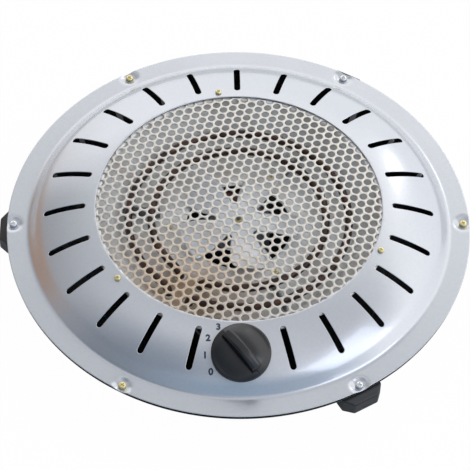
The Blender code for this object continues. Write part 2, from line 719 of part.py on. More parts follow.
def make_pan(finish):
    corner = [(pan_corner_r() + PAN_CORNER_R * math.sin(s), PAN_CORNER_R * (1 - math.cos(s)), s)
              for s in [(math.pi / 2 - PAN_DRAFT) * i / 2 for i in range(3)]]
    outer = [(0, 0)] + [(r, z) for r, z, s in corner]
    inner = [(0, PAN_T)] + [(r - PAN_T * math.sin(s), z + PAN_T * math.cos(s)) for r, z, s in corner]
    lip_z = PAN_DEPTH - PAN_T
    wall_t = PAN_T / math.cos(PAN_DRAFT)
    outer += [(pan_wall_r(lip_z), lip_z), (PAN_FLANGE_R, lip_z), (PAN_FLANGE_R, PAN_DEPTH)]
    inner += [(pan_wall_r(PAN_DEPTH) - wall_t, PAN_DEPTH)]
    pan = turned("bottom_pan", outer + inner[::-1], finish, ROUND_STEPS)

    holes = bmesh.new()
    half = (VENT_HIGH_Z - VENT_LOW_Z) / 2
    mid_z = (VENT_HIGH_Z + VENT_LOW_Z) / 2
    vent = slot(-half, half, VENT_WIDTH, 2)
    for i in range(PAN_VENTS):
        angle = math.tau * (i + 0.5) / PAN_VENTS
        if abs(angle - GLAND_ANGLE) * pan_wall_r(GLAND_Z) > GLAND_FLANGE_R + 2 * VENT_WIDTH:
            stand = Matrix.Rotation(angle, 4, "Z") @ Matrix.Translation((pan_wall_r(mid_z), 0, mid_z))
            stand = stand @ Matrix.Rotation(math.pi / 2 + PAN_DRAFT, 4, "Y")
            add_prism(holes, vent, -OVERRUN, OVERRUN, stand)
    add_slots(holes, FLOOR_VENTS, FLOOR_VENT_IN_R, FLOOR_VENT_OUT_R, VENT_WIDTH,
              -OVERRUN, PAN_T + OVERRUN)
    for place in flange_screw_frames():
        add_rod(holes, HOLE_R, -2 * OVERRUN, 0, place, TUBE_STEPS)
    add_rod(holes, BLOCK_PEG_R + GAP, -OVERRUN, OVERRUN, block_frame(), TUBE_STEPS)
    add_rod(holes, GLAND_NECK_R + GAP, -OVERRUN, OVERRUN, gland_frame())
    boolean(pan, holes)
    return pan


def pan_corner_r():
    # Radius where the pan's flat floor ends
    rise = PAN_CORNER_R * (1 - math.sin(PAN_DRAFT))
    return pan_wall_r(rise) - PAN_CORNER_R * math.cos(PAN_DRAFT)


def gland_place():
    # On the flat of the pan's outer wall
    return Matrix.Translation(polar(flat_r(pan_wall_r(GLAND_Z)), GLAND_ANGLE, GLAND_Z))


def gland_frame():
    # Z square to the wall and outwards
    turn = Matrix.Rotation(GLAND_ANGLE, 4, "Z") @ Matrix.Rotation(math.pi / 2 + PAN_DRAFT, 4, "Y")
    return gland_place() @ turn


def block_frame():
    return Matrix.Translation(polar(BLOCK_PLACE_R, GLAND_ANGLE))


def make_gland(finish):
    # A moulded grommet: two flanges hold the wall between them, the nozzle and bore are level
    profile = [(0, -PAN_T - GAP - GLAND_FLANGE_H), (GLAND_FLANGE_R, -PAN_T - GAP - GLAND_FLANGE_H),
               (GLAND_FLANGE_R, -PAN_T - GAP), (GLAND_NECK_R, -PAN_T - GAP), (GLAND_NECK_R, GAP),
               (GLAND_FLANGE_R, GAP), (GLAND_FLANGE_R, GAP + GLAND_FLANGE_H), (0, GAP + GLAND_FLANGE_H)]
    gland = turned("cord_gland", profile, finish, SMALL_STEPS, gland_frame())
    turn = Matrix.Rotation(GLAND_ANGLE, 4, "Z") @ Matrix.Rotation(math.pi / 2, 4, "Y")
    level = gland_place() @ turn
    nozzle = bmesh.new()
    root = GAP + GLAND_FLANGE_H / 2
    for v in turn_profile(nozzle, rod_profile(GLAND_NOZZLE_R, 0, GLAND_NOZZLE_LENGTH)):
        if v.co.z == 0:
            v.co.z = (root - v.co.x * math.sin(PAN_DRAFT)) / math.cos(PAN_DRAFT)
    bmesh.ops.transform(nozzle, matrix=level, verts=nozzle.verts)
    boolean(gland, nozzle, "UNION")
    bore = bmesh.new()
    add_rod(bore, GLAND_BORE_R, -GLAND_NOZZLE_LENGTH, GLAND_NOZZLE_LENGTH + OVERRUN, level)
    boolean(gland, bore)
    return gland


def make_foot(name, place, finish):
    # Side view and plan view of the block, each as a prism; the foot is what they share
    top = -COVER_T - 2 * GAP - PAN_T
    inner_x = FOOT_INNER_R - FLANGE_SCREW_R
    edge_x = FLANGE_R - FLANGE_SCREW_R
    outer_x = edge_x + FOOT_REACH
    chamfer = (FOOT_WIDTH - FOOT_FACE_WIDTH) / 2
    side = [(inner_x, top), (edge_x, top), (outer_x, top - FOOT_RAMP), (outer_x, top - FOOT_H),
            (inner_x, top - FOOT_H)]
    half, face = FOOT_WIDTH / 2, FOOT_FACE_WIDTH / 2
    plan = [(inner_x, -half), (outer_x - chamfer, -half), (outer_x, -face), (outer_x, face),
            (outer_x - chamfer, half), (inner_x, half)]
    bm = bmesh.new()
    add_prism(bm, side, -half - OVERRUN, half + OVERRUN, Matrix.Rotation(math.pi / 2, 4, "X"))
    foot = add_object(name, bm, finish, place)
    trim = bmesh.new()
    add_prism(trim, plan, top - FOOT_H - OVERRUN, top + OVERRUN)
    boolean(foot, trim, "INTERSECT", place)
    rounding = foot.modifiers.new("Rounding", "BEVEL")
    rounding.width = FOOT_ROUNDING
    rounding.segments = 2
    hole = bmesh.new()
    add_rod(hole, HOLE_R, -FOOT_SCREW_LENGTH - GAP, OVERRUN, None, TUBE_STEPS)
    boolean(foot, hole, "DIFFERENCE", place)
    return foot


def make_fan(finish, axis):
    # Five blades cut from one sheet; each twists about its own centre line
    hub_bore = circle((0, 0), SHAFT_R + GAP, TUBE_STEPS)
    outline, middles = [], []
    shares = [i / FAN_STATIONS for i in range(FAN_STATIONS + 1)]
    stations = [(FAN_ROOT_R + (FAN_R - FAN_ROOT_R) * share,
                 FAN_ROOT_HALF_ANGLE + (FAN_TIP_HALF_ANGLE - FAN_ROOT_HALF_ANGLE) * share)
                for share in shares]
    for blade in range(FAN_BLADES):
        middle = FAN_FIRST_BLADE + math.tau * blade / FAN_BLADES
        outline += [tuple(polar(r, middle - half)[:2]) for r, half in stations]
        outline.append(tuple(polar(FAN_R, middle)[:2]))
        outline += [tuple(polar(r, middle + half)[:2]) for r, half in reversed(stations)]
        middles += [tuple(polar(r, middle)[:2]) for r, half in stations[:-1]]

    def twist(x, y):
        r = math.hypot(x, y)
        pitch_step = math.tau / FAN_BLADES
        off = (math.atan2(y, x) - FAN_FIRST_BLADE + pitch_step / 2) % pitch_step - pitch_step / 2
        share = min(1.0, max(0.0, (r - FAN_ROOT_R) / FAN_ROOT_R))
        return FAN_Z - FLANGE_Z + share * math.tan(FAN_PITCH) * r * math.sin(off)

    fan = add_object("fan", plate_mesh(outline, [hub_bore], FAN_T, twist, middles), finish)
    fan.parent = axis
    return fan


def arm_outline(hub_r, arm_r, width, angles):
    # A hub with round-ended arms
    half = width / 2
    root = math.asin(half / hub_r)
    outline = []
    for i, angle in enumerate(angles):
        turn = Matrix.Rotation(angle, 2)
        arm = arc((arm_r, 0), half, -math.pi / 2, math.pi / 2, 6)
        outline += [tuple(turn @ Vector(point)) for point in arm]
        following = angles[(i + 1) % len(angles)]
        gap = (following - angle) % math.tau
        outline += arc((0, 0), hub_r, angle + root, angle + gap - root, 4)
    return outline


def make_bridge(finish):
    outline = arm_outline(BRIDGE_HUB_R, BRIDGE_SCREW_R, BRIDGE_ARM_WIDTH, BRIDGE_ANGLES)
    holes = [circle((0, 0), BRIDGE_BORE_R)]
    holes += [circle((x, 0), HOLE_R, TUBE_STEPS) for x in (-MOTOR_SCREW_X, MOTOR_SCREW_X)]
    holes += [circle(polar(BRIDGE_SCREW_R, angle), HOLE_R, TUBE_STEPS) for angle in BRIDGE_ANGLES]
    holes.append(circle(cutout_place(), CUTOUT_PEG_R + GAP, TUBE_STEPS))
    return plate("motor_bridge", outline, holes, BRIDGE_T, finish, BRIDGE_TOP_Z)


def cutout_place():
    return polar(CUTOUT_PLACE_R, BRIDGE_ANGLES[2])


def make_bracket(name, up, finish):
    # A strip with a raised middle that holds the bearing; the lower one is the upper one inverted
    crown, foot = BRACKET_CROWN_X, BRACKET_FOOT_X
    rise, t = BRACKET_RISE, BRACKET_T
    upper = [(-BRACKET_HALF_LENGTH, 0), (-foot, 0), (-crown, rise), (crown, rise), (foot, 0),
             (BRACKET_HALF_LENGTH, 0)]
    lower = [(x, z - t) for x, z in reversed(upper)]
    bm = bmesh.new()
    add_prism(bm, upper + lower, -BRACKET_WIDTH / 2, BRACKET_WIDTH / 2,
              Matrix.Rotation(math.pi / 2, 4, "X"))
    turn = Matrix() if up else Matrix.Rotation(math.pi, 4, "X")
    seat_z = UPPER_BRACKET_Z if up else LOWER_BRACKET_Z
    place = Matrix.Translation((0, 0, seat_z)) @ turn
    bracket = add_object(name, bm, finish, place)
    holes = bmesh.new()
    for x in (-MOTOR_SCREW_X, MOTOR_SCREW_X):
        add_rod(holes, HOLE_R, -OVERRUN, OVERRUN, Matrix.Translation((x, 0, 0)), TUBE_STEPS)
    add_rod(holes, BEARING_R + GAP, rise - OVERRUN, rise + OVERRUN)
    boolean(bracket, holes, "DIFFERENCE", place)
    return bracket


def make_bearing(name, up, finish):
    middle = BRACKET_RISE - BRACKET_T / 2
    z = UPPER_BRACKET_Z + middle if up else LOWER_BRACKET_Z - middle
    profile = tube_profile(SHAFT_R + GAP, BEARING_R, z - BEARING_H / 2, z + BEARING_H / 2)
    return turned(name, profile, finish)


def make_stack(finish):
    outline = rectangle(-STACK_HALF_WIDTH, STACK_HALF_WIDTH, -STACK_FRONT, STACK_BACK)
    window_y = STACK_BACK - STACK_BAR
    holes = [circle((0, 0), (ROTOR_R + AIR_GAP) / math.cos(math.pi / ROTOR_STEPS), ROTOR_STEPS),
             rectangle(-STACK_WINDOW_HALF, STACK_WINDOW_HALF, window_y - STACK_WINDOW_DEPTH, window_y)]
    holes += [circle((x, 0), HOLE_R, TUBE_STEPS) for x in (-MOTOR_SCREW_X, MOTOR_SCREW_X)]
    return plate("stator_laminations", outline, holes, STACK_H, finish, STACK_TOP_Z)


def bar_section(extra):
    # The coil's bar, seen along X, grown by extra on all sides
    low_y, high_y = STACK_BACK - STACK_BAR - extra, STACK_BACK + extra
    low_z, high_z = STACK_BOTTOM_Z - extra, STACK_TOP_Z + extra
    return rectangle(low_y, high_y, low_z, high_z)


def make_bobbin(finish):
    core = BOBBIN_CLEARANCE + BOBBIN_T
    end, t = BOBBIN_HALF_LENGTH, BOBBIN_T
    bm = bmesh.new()
    add_prism(bm, bar_section(core), -end + t / 2, end - t / 2, ALONG_X)
    bobbin = add_object("coil_bobbin", bm, finish)
    flanges = bmesh.new()
    for low in (-end, end - t):
        add_prism(flanges, bar_section(BOBBIN_FLANGE_H), low, low + t, ALONG_X)
    boolean(bobbin, flanges, "UNION")
    bore = bmesh.new()
    add_prism(bore, bar_section(BOBBIN_CLEARANCE), -end - OVERRUN, end + OVERRUN, ALONG_X)
    boolean(bobbin, bore)
    return bobbin


def make_coil(finish):
    inside = BOBBIN_CLEARANCE + BOBBIN_T + GAP
    half = BOBBIN_HALF_LENGTH - BOBBIN_T - GAP
    outline = bar_section(inside + COIL_H - GAP)
    bm = plate_mesh(outline, [bar_section(inside)], 2 * half, lambda x, y: half)
    return add_object("motor_coil", bm, finish, ALONG_X)


def make_shaft_parts(axis, steel, brass, zinc):
    top_z = FAN_PLATE_RISE + GAP + FAN_NUT_H
    bore_r = SHAFT_R + GAP
    bottom_z = LOWER_BRACKET_Z - FLANGE_Z - BRACKET_RISE - BEARING_H / 2
    rotor_z = (STACK_TOP_Z + STACK_BOTTOM_Z) / 2 - FLANGE_Z
    hub_top = FAN_PLATE_RISE - FAN_T - GAP
    nut_low = FAN_PLATE_RISE + GAP
    parts = [
        turned("motor_shaft", rod_profile(SHAFT_R, bottom_z, top_z + SHAFT_STAND), steel),
        turned("motor_rotor", tube_profile(bore_r, ROTOR_R, rotor_z - ROTOR_H / 2,
                                           rotor_z + ROTOR_H / 2), steel, ROTOR_STEPS),
        turned("fan_hub", tube_profile(bore_r, FAN_HUB_R, hub_top - FAN_HUB_H, hub_top), brass),
        turned("fan_nut", tube_profile(bore_r, FAN_NUT_R, nut_low, nut_low + FAN_NUT_H), zinc, 6),
    ]
    for part in parts:
        part.parent = axis


def make_cutout(finish):
    top = SPACER_TOP_Z
    profile = [(0, top - CUTOUT_H), (CUTOUT_R, top - CUTOUT_H), (CUTOUT_R, top), (CUTOUT_PEG_R, top),
               (CUTOUT_PEG_R, BRIDGE_TOP_Z), (0, BRIDGE_TOP_Z)]
    return turned("thermal_cutout", profile, finish, SMALL_STEPS, Matrix.Translation(cutout_place()))


def d_section(r, flat):
    # A circle with a flat across +X
    half = math.acos(flat / r)
    return arc((0, 0), r, half, math.tau - half, TUBE_STEPS)


def make_switch(finish, metal):
    frame = knob_frame()
    body_low = -SWITCH_TOP_DROP - SWITCH_H
    half = SWITCH_SIZE / 2
    bm = bmesh.new()
    add_prism(bm, rectangle(-half, half, -half, half), body_low, -SWITCH_TOP_DROP)
    body = add_object("switch_body", bm, finish, frame)
    neck = bmesh.new()
    profile = [(0, -2 * SWITCH_TOP_DROP), (SWITCH_SHOULDER_R, -2 * SWITCH_TOP_DROP),
               (SWITCH_SHOULDER_R, -SWITCH_SHOULDER_DROP), (SWITCH_NECK_R, -SWITCH_SHOULDER_DROP),
               (SWITCH_NECK_R, SWITCH_NECK_TOP), (0, SWITCH_NECK_TOP)]
    turn_profile(neck, profile)
    for x, y in blade_places():
        half_w, half_t = BLADE_WIDTH / 2, BLADE_T / 2
        add_prism(neck, rectangle(x - half_t, x + half_t, y - half_w, y + half_w),
                  body_low - BLADE_LENGTH, body_low + BLADE_LENGTH)
    boolean(body, neck, "UNION", frame)
    bore = bmesh.new()
    add_rod(bore, SPINDLE_R + GAP, -SPINDLE_BOTTOM - GAP, SWITCH_NECK_TOP + OVERRUN)
    boolean(body, bore, "DIFFERENCE", frame)
    nut_bore = circle((0, 0), SWITCH_NECK_R + GAP)
    plate("switch_nut", circle((0, 0), SWITCH_NUT_R, 6), [nut_bore], SWITCH_NUT_H, metal,
          GAP + SWITCH_NUT_H, frame)
    return body


def blade_places():
    return [(0, -BLADE_SPACING), (0, 0), (0, BLADE_SPACING)]


def make_knob(finish, metal, axis):
    low = KNOB_LIFT
    profile = [(0, KNOB_DISC_H), (KNOB_SHOULDER_R, KNOB_SHOULDER_H), (KNOB_SKIRT_R, KNOB_SKIRT_H),
               (KNOB_SKIRT_R, low), (KNOB_SKIRT_R - KNOB_WALL, low),
               (KNOB_SKIRT_R - KNOB_WALL, KNOB_SKIRT_H), (KNOB_BOSS_R, KNOB_DISC_H - KNOB_WALL),
               (KNOB_BOSS_R, KNOB_BOSS_LIFT), (0, KNOB_BOSS_LIFT)]
    turn = Matrix.Rotation(POINTER_ANGLE + math.pi / 2, 4, "Z")
    knob = turned("knob", profile, finish, KNOB_STEPS)
    place_on(knob, axis, turn)

    base, top = GRIP_BASE_WIDTH / 2, GRIP_TOP_WIDTH / 2
    grip_low = KNOB_DISC_H - KNOB_WALL
    section = [(-base, grip_low), (base, grip_low), (top, KNOB_H), (-top, KNOB_H)]
    bm = bmesh.new()
    add_prism(bm, section, -KNOB_SKIRT_R, KNOB_SKIRT_R, ALONG_X)
    edges = [e for e in bm.edges if all(v.co.z > grip_low + GAP for v in e.verts)]
    bmesh.ops.bevel(bm, geom=edges, offset=GRIP_ROUNDING, segments=2, affect="EDGES", profile=0.5)
    grip = boolean(knob, bm, "UNION")
    place_on(grip, axis, turn)
    ends = bmesh.new()
    turn_profile(ends, [(0, grip_low - KNOB_WALL), (KNOB_SKIRT_R, grip_low - KNOB_WALL),
                        (KNOB_SHOULDER_R, KNOB_SHOULDER_H), (GRIP_TOP_R, KNOB_H + OVERRUN),
                        (0, KNOB_H + OVERRUN)], KNOB_STEPS)
    place_on(boolean(grip, ends, "INTERSECT"), axis, turn)
    socket = bmesh.new()
    add_prism(socket, d_section(SPINDLE_R + GAP, SPINDLE_FLAT + GAP), 0, SPINDLE_TOP + GAP)
    place_on(boolean(knob, socket), axis, turn)

    spindle = bmesh.new()
    add_prism(spindle, d_section(SPINDLE_R, SPINDLE_FLAT), -SPINDLE_BOTTOM, SPINDLE_TOP)
    place_on(add_object("switch_spindle", spindle, metal), axis, turn)
    return knob


def place_on(made, axis, turn):
    made.parent = axis
    made.matrix_basis = turn


def make_block(finish):
    # Snap-in block: a peg through the pan's floor, three poles with screw wells
    half_x, half_y = BLOCK_LENGTH / 2, BLOCK_WIDTH / 2
    low = PAN_T + GAP
    bm = bmesh.new()
    add_prism(bm, rectangle(-half_x, half_x, -half_y, half_y), low, low + BLOCK_H)
    block = add_object("terminal_block", bm, finish, block_frame())
    peg = bmesh.new()
    add_rod(peg, BLOCK_PEG_R, GAP, low + OVERRUN, None, TUBE_STEPS)
    boolean(block, peg, "UNION", block_frame())
    wells = bmesh.new()
    step = BLOCK_LENGTH / BLOCK_POLES
    for i in range(BLOCK_POLES):
        x = step * (i - (BLOCK_POLES - 1) / 2)
        add_rod(wells, BLOCK_WELL_R, low + BLOCK_H - BLOCK_WELL_DEPTH, low + BLOCK_H + OVERRUN,
                Matrix.Translation((x, 0, 0)), TUBE_STEPS)
    boolean(block, wells, "DIFFERENCE", block_frame())
    return block


def bezier(start, start_pull, end_pull, end):
    points = []
    for i in range(BEND_STEPS + 1):
        t = i / BEND_STEPS
        points.append(start * (1 - t)**3 + start_pull * 3 * t * (1 - t)**2
                      + end_pull * 3 * t**2 * (1 - t) + end * t**3)
    return points


def loom_wire(name, start, leave, end, arrive, way, finish):
    # Leaves its terminal, lies along the pan's floor round the motor, and rises to the other one
    z = PAN_T + GAP + WIRE_R
    lead = way * WIRE_LEAD / WIRE_LAY_R
    start_angle = math.atan2(start.y, start.x) + lead
    end_angle = math.atan2(end.y, end.x) - lead
    sweep = (end_angle - start_angle) * way % math.tau * way
    steps = math.ceil(abs(sweep) * WIRE_LAY_R / WIRE_LEAD)
    lay = [polar(WIRE_LAY_R, start_angle + sweep * i / steps, z) for i in range(steps + 1)]
    pull = WIRE_LEAD / 2
    stub = 2 * WIRE_R
    into = (lay[1] - lay[0]).normalized()
    out = (lay[-1] - lay[-2]).normalized()
    first, last = start + leave * stub, end - arrive * stub
    points = [start, *bezier(first, first + leave * pull, lay[0] - into * pull, lay[0])[:-1], *lay]
    points += [*bezier(lay[-1], lay[-1] + out * pull, last - arrive * pull, last)[1:], end]
    return swept(name, points, [WIRE_R] * len(points), finish, WIRE_STEPS)


def short_wire(name, start, leave, end, arrive, pull, finish):
    stub = 2 * WIRE_R
    first, last = start + leave * stub, end - arrive * stub
    points = [start, *bezier(first, first + leave * pull, last - arrive * pull, last), end]
    return swept(name, points, [WIRE_R] * len(points), finish, WIRE_STEPS)


def make_wires(live, neutral, heat):
    down, up = Vector((0, 0, -1)), Vector((0, 0, 1))
    pin_z = FLANGE_Z - ELEMENT_LEG_DROP - PIN_LENGTH - GAP
    frame = knob_frame()
    normal = (frame.to_3x3() @ Vector((0, 0, 1))).normalized()
    blade_z = -SWITCH_TOP_DROP - SWITCH_H - BLADE_LENGTH - GAP
    blades = [frame @ Vector((x, y, blade_z)) for x, y in blade_places()]
    side_x = BLOCK_LENGTH / 2 + GAP
    pole_z = PAN_T + GAP + BLOCK_ENTRY_H
    right = Vector((side_x, BLOCK_PLACE_R, pole_z))
    left = Vector((-side_x, BLOCK_PLACE_R, pole_z))
    along_x = Vector((1, 0, 0))
    inner_pins = [polar(INNER_RING_R, angle, pin_z) for angle in INNER_LEG_ANGLES]
    outer_pins = [polar(OUTER_RING_R, angle, pin_z) for angle in OUTER_LEG_ANGLES]
    loom_wire("wire_live", right, along_x, blades[2], normal, -1, live)
    loom_wire("wire_neutral", left, -along_x, inner_pins[1], up, 1, neutral)
    short_wire("wire_inner_element", inner_pins[0], down, blades[1], normal, WIRE_LEAD / 2, heat)
    short_wire("wire_outer_element", outer_pins[0], down, blades[0], normal, WIRE_LEAD / 3, heat)
    coil_y = STACK_BACK + BOBBIN_CLEARANCE + BOBBIN_T + COIL_H
    coil_end = Vector((0, coil_y + GAP, (STACK_TOP_Z + STACK_BOTTOM_Z) / 2))
    pole = Vector((0, BLOCK_PLACE_R - BLOCK_WIDTH / 2 - GAP, pole_z))
    along_y = Vector((0, 1, 0))
    short_wire("wire_motor", coil_end, along_y, pole, along_y, WIRE_LEAD, heat)


def make_link(finish):
    # Strap over one pin of each element
    inner, outer = (polar(r, legs[1]) for r, legs in ((INNER_RING_R, INNER_LEG_ANGLES),
                                                     (OUTER_RING_R, OUTER_LEG_ANGLES)))
    span = outer - inner
    middle = (inner + outer) / 2
    reach = span.length / 2
    outline = slot(-reach - LINK_WIDTH / 2, reach + LINK_WIDTH / 2, LINK_WIDTH)
    holes = [circle((x, 0), PIN_R + GAP, TUBE_STEPS) for x in (-reach, reach)]
    place = Matrix.Translation(middle) @ Matrix.Rotation(math.atan2(span.y, span.x), 4, "Z")
    top = FLANGE_Z - ELEMENT_LEG_DROP - GAP
    return plate("element_link", outline, holes, LINK_T, finish, top, place)


def main():
    for old in list(bpy.data.objects):
        bpy.data.objects.remove(old)

    silver = material("silver_enamel", (0.62, 0.64, 0.68), 0.28, 0.6)
    bright = material("bright_zinc", (0.78, 0.77, 0.74), 0.25, 1.0)
    aluminium = material("polished_aluminium", (0.80, 0.79, 0.77), 0.22, 1.0)
    black = material("black_enamel", (0.02, 0.02, 0.022), 0.45, 0.3)
    plastic = material("black_plastic", (0.025, 0.026, 0.03), 0.4)
    rubber = material("black_rubber", (0.02, 0.02, 0.02), 0.7)
    yellow_zinc = material("yellow_zinc", (0.72, 0.62, 0.30), 0.35, 1.0)
    steel = material("plain_steel", (0.50, 0.50, 0.52), 0.35, 1.0)
    sheath = material("element_sheath", (0.12, 0.085, 0.06), 0.5, 0.7)
    ceramic = material("white_ceramic", (0.82, 0.80, 0.75), 0.6)
    copper = material("copper_winding", (0.55, 0.22, 0.08), 0.35, 0.8)
    brass = material("brass", (0.72, 0.55, 0.25), 0.3, 1.0)
    nylon = material("nylon", (0.75, 0.74, 0.70), 0.5)
    live = material("brown_wire", (0.20, 0.09, 0.04), 0.55)
    neutral = material("blue_wire", (0.05, 0.16, 0.45), 0.55)
    heat = material("silicone_wire", (0.75, 0.72, 0.66), 0.6)

    make_cover(silver)
    make_grille(bright)
    for i, place in enumerate(grille_screw_frames()):
        screw(f"grille_screw_{i + 1}", place, GRILLE_SCREW_LENGTH, yellow_zinc, GRILLE_HEAD_R)
    for i, place in enumerate(flange_screw_frames()):
        over_foot = i % 2 == 1
        length = FOOT_SCREW_LENGTH if over_foot else FLANGE_SCREW_LENGTH
        screw(f"flange_screw_{i + 1}", place, length, bright if over_foot else yellow_zinc)
    for i, place in enumerate(flange_screw_frames()[1::2]):
        make_foot(f"foot_{i + 1}", place, plastic)
    make_pan(black)
    make_gland(rubber)
    make_reflector(aluminium)

    make_element("inner_element", INNER_RING_R, INNER_LEG_ANGLES, sheath)
    make_element("outer_element", OUTER_RING_R, OUTER_LEG_ANGLES, sheath)
    for i, place in enumerate(bush_places()):
        make_bush(f"ceramic_bush_{i + 1}", place, ceramic)
    for i, angle in enumerate(CLIP_ANGLES):
        make_clip(f"element_clip_{i + 1}", angle, steel)

    fan_axis = bpy.data.objects.new("fan_axis", None)
    fan_axis.location = (0, 0, FLANGE_Z)
    knob_axis = bpy.data.objects.new("knob_axis", None)
    knob_axis.matrix_world = knob_frame()
    for axis in (fan_axis, knob_axis):
        bpy.context.scene.collection.objects.link(axis)
    make_fan(aluminium, fan_axis)
    make_shaft_parts(fan_axis, steel, brass, yellow_zinc)
    make_knob(plastic, steel, knob_axis)

    make_bridge(steel)
    for i, angle in enumerate(BRIDGE_ANGLES):
        place = Matrix.Translation(polar(BRIDGE_SCREW_R, angle, REFLECTOR_FLOOR_Z))
        screw(f"bridge_screw_{i + 1}", place, BRIDGE_SCREW_LENGTH, yellow_zinc, GRILLE_HEAD_R)
    for i, x in enumerate((-MOTOR_SCREW_X, MOTOR_SCREW_X)):
        place = Matrix.Translation((x, 0, 0))
        turned(f"motor_spacer_{i + 1}",
               tube_profile(HOLE_R, SPACER_R, SPACER_TOP_Z - SPACER_H, SPACER_TOP_Z), brass,
               frame=place)
        seat = Matrix.Translation((x, 0, LOWER_BRACKET_Z)) @ Matrix.Rotation(math.pi, 4, "X")
        screw(f"motor_screw_{i + 1}", seat, BRIDGE_TOP_Z - LOWER_BRACKET_Z - GAP, steel)
    make_bracket("upper_bracket", True, bright)
    make_bracket("lower_bracket", False, bright)
    make_bearing("upper_bearing", True, brass)
    make_bearing("lower_bearing", False, brass)
    make_stack(steel)
    make_bobbin(nylon)
    make_coil(copper)
    make_cutout(ceramic)
    make_switch(ceramic, bright)
    make_block(ceramic)
    make_link(brass)
    make_wires(live, neutral, heat)


main()
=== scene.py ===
from math import asin, atan2, cos, hypot, pi, radians, sin, sqrt, tan, tau

import bmesh
import bpy
import numpy as np
from mathutils import Matrix, Vector
from mathutils.geometry import delaunay_2d_cdt


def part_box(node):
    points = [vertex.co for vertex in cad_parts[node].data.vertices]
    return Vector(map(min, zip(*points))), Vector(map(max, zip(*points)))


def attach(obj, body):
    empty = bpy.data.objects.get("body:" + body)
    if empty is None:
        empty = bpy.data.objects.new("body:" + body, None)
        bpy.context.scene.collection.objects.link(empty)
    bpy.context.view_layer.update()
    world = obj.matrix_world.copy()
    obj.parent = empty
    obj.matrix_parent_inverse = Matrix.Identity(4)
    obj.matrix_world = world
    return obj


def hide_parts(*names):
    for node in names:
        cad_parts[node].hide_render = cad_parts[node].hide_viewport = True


print("Loading the frame")
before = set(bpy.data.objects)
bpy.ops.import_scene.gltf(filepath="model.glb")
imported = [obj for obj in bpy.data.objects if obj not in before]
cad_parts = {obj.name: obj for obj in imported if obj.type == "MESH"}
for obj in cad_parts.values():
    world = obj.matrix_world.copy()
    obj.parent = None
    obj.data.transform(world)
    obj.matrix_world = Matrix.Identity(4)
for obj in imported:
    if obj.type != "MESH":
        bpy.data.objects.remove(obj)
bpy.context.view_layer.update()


def toLinear(hexColour):
    # sRGB hex to the linear colour that Blender's sockets take
    channels = [int(hexColour[i:i + 2], 16) / 255 for i in (1, 3, 5)]
    return [c / 12.92 if c <= 0.04045 else ((c + 0.055) / 1.055) ** 2.4 for c in channels] + [1.0]


def addNode(tree, kind, settings=None, links=None):
    # settings are node properties or socket values, "stops" a colour ramp's (place, hex colour) pairs in order
    node = tree.nodes.new("ShaderNode" + kind)
    for key, value in (settings or {}).items():
        if isinstance(value, str) and value.startswith("#"):
            value = toLinear(value)
        if key == "stops":
            stops = node.color_ramp.elements
            for i, (place, colour) in enumerate(value):
                stop = stops[i] if i < 2 else stops.new(place)
                stop.position, stop.color = place, toLinear(colour)
        elif isinstance(key, str) and hasattr(node, key):
            setattr(node, key, value)
        else:
            node.inputs[key].default_value = value
    for key, source in (links or {}).items():
        tree.links.new(source, node.inputs[key])
    return node


def clearedTree(owner):
    owner.use_nodes = True
    owner.node_tree.nodes.clear()
    return owner.node_tree


def newFinish(name, settings):
    # A material with one Principled shader; returns what its pattern nodes are added to
    finish = bpy.data.materials.new(name)
    tree = clearedTree(finish)
    shader = addNode(tree, "BsdfPrincipled", settings)
    addNode(tree, "OutputMaterial", {}, {"Surface": shader.outputs["BSDF"]})
    return finish, tree, shader, addNode(tree, "TexCoord").outputs["Object"]


def dressShader(tree, shader, colours, share, relief, gloss=None, glossFrom=(0.3, 0.7), depth=0.0002):
    # Every finish ends alike. share mixes the two colours, relief is (height, strength), depth is what a height
    # of 1 stands for in metres, and gloss is (pattern, roughness at its low end, at its high end), where a noise
    # stays mostly between 0.3 and 0.7.
    mixed = addNode(tree, "Mix", {"data_type": "RGBA", 6: colours[0], 7: colours[1]}, {0: share})
    tree.links.new(mixed.outputs[2], shader.inputs["Base Color"])
    if gloss:
        pattern, smooth, rough = gloss
        roughness = addNode(tree, "MapRange", {"From Min": glossFrom[0], "From Max": glossFrom[1], "To Min": smooth,
                                               "To Max": rough}, {"Value": pattern})
        tree.links.new(roughness.outputs["Result"], shader.inputs["Roughness"])
    height, strength = relief
    bump = addNode(tree, "Bump", {"Strength": strength, "Distance": depth}, {"Height": height})
    tree.links.new(bump.outputs["Normal"], shader.inputs["Normal"])
    return bump


def heatPatch(tree, place, middle, size):
    # 1 in the middle of an ellipsoid and 0 at its edge
    shifted = addNode(tree, "Mapping", {"vector_type": "TEXTURE", "Location": middle, "Scale": size}, {"Vector": place})
    return addNode(tree, "TexGradient", {"gradient_type": "SPHERICAL"},
                   {"Vector": shifted.outputs["Vector"]}).outputs["Fac"]


def polar(r, angle, z=0.0):
    return Vector((r * cos(angle), r * sin(angle), z))


def turnZ(degrees):
    return Matrix.Rotation(radians(degrees), 4, "Z")


def circle(r, count, start=0.0, middle=(0, 0)):
    angles = [start + tau * i / count for i in range(count)]
    return [Vector((middle[0] + r * cos(a), middle[1] + r * sin(a))) for a in angles]


def spread(low, high, count):
    return [low + (high - low) * i / count for i in range(count + 1)]


def eased(share):
    # A smooth step from 0 to 1
    share = min(1.0, max(0.0, share))
    return share * share * (3 - 2 * share)


def gridFaces(rows, columns, closed=True):
    # Quads between rows of points that follow one another, each row a ring or open
    step = columns if closed else columns + 1
    return [(j * step + i, j * step + (i + 1) % step, (j + 1) * step + (i + 1) % step, (j + 1) * step + i)
            for j in range(rows) for i in range(columns)]


def joined(shapes):
    points, faces = [], []
    for morePoints, moreFaces in shapes:
        faces += [tuple(i + len(points) for i in face) for face in moreFaces]
        points += list(morePoints)
    return points, faces


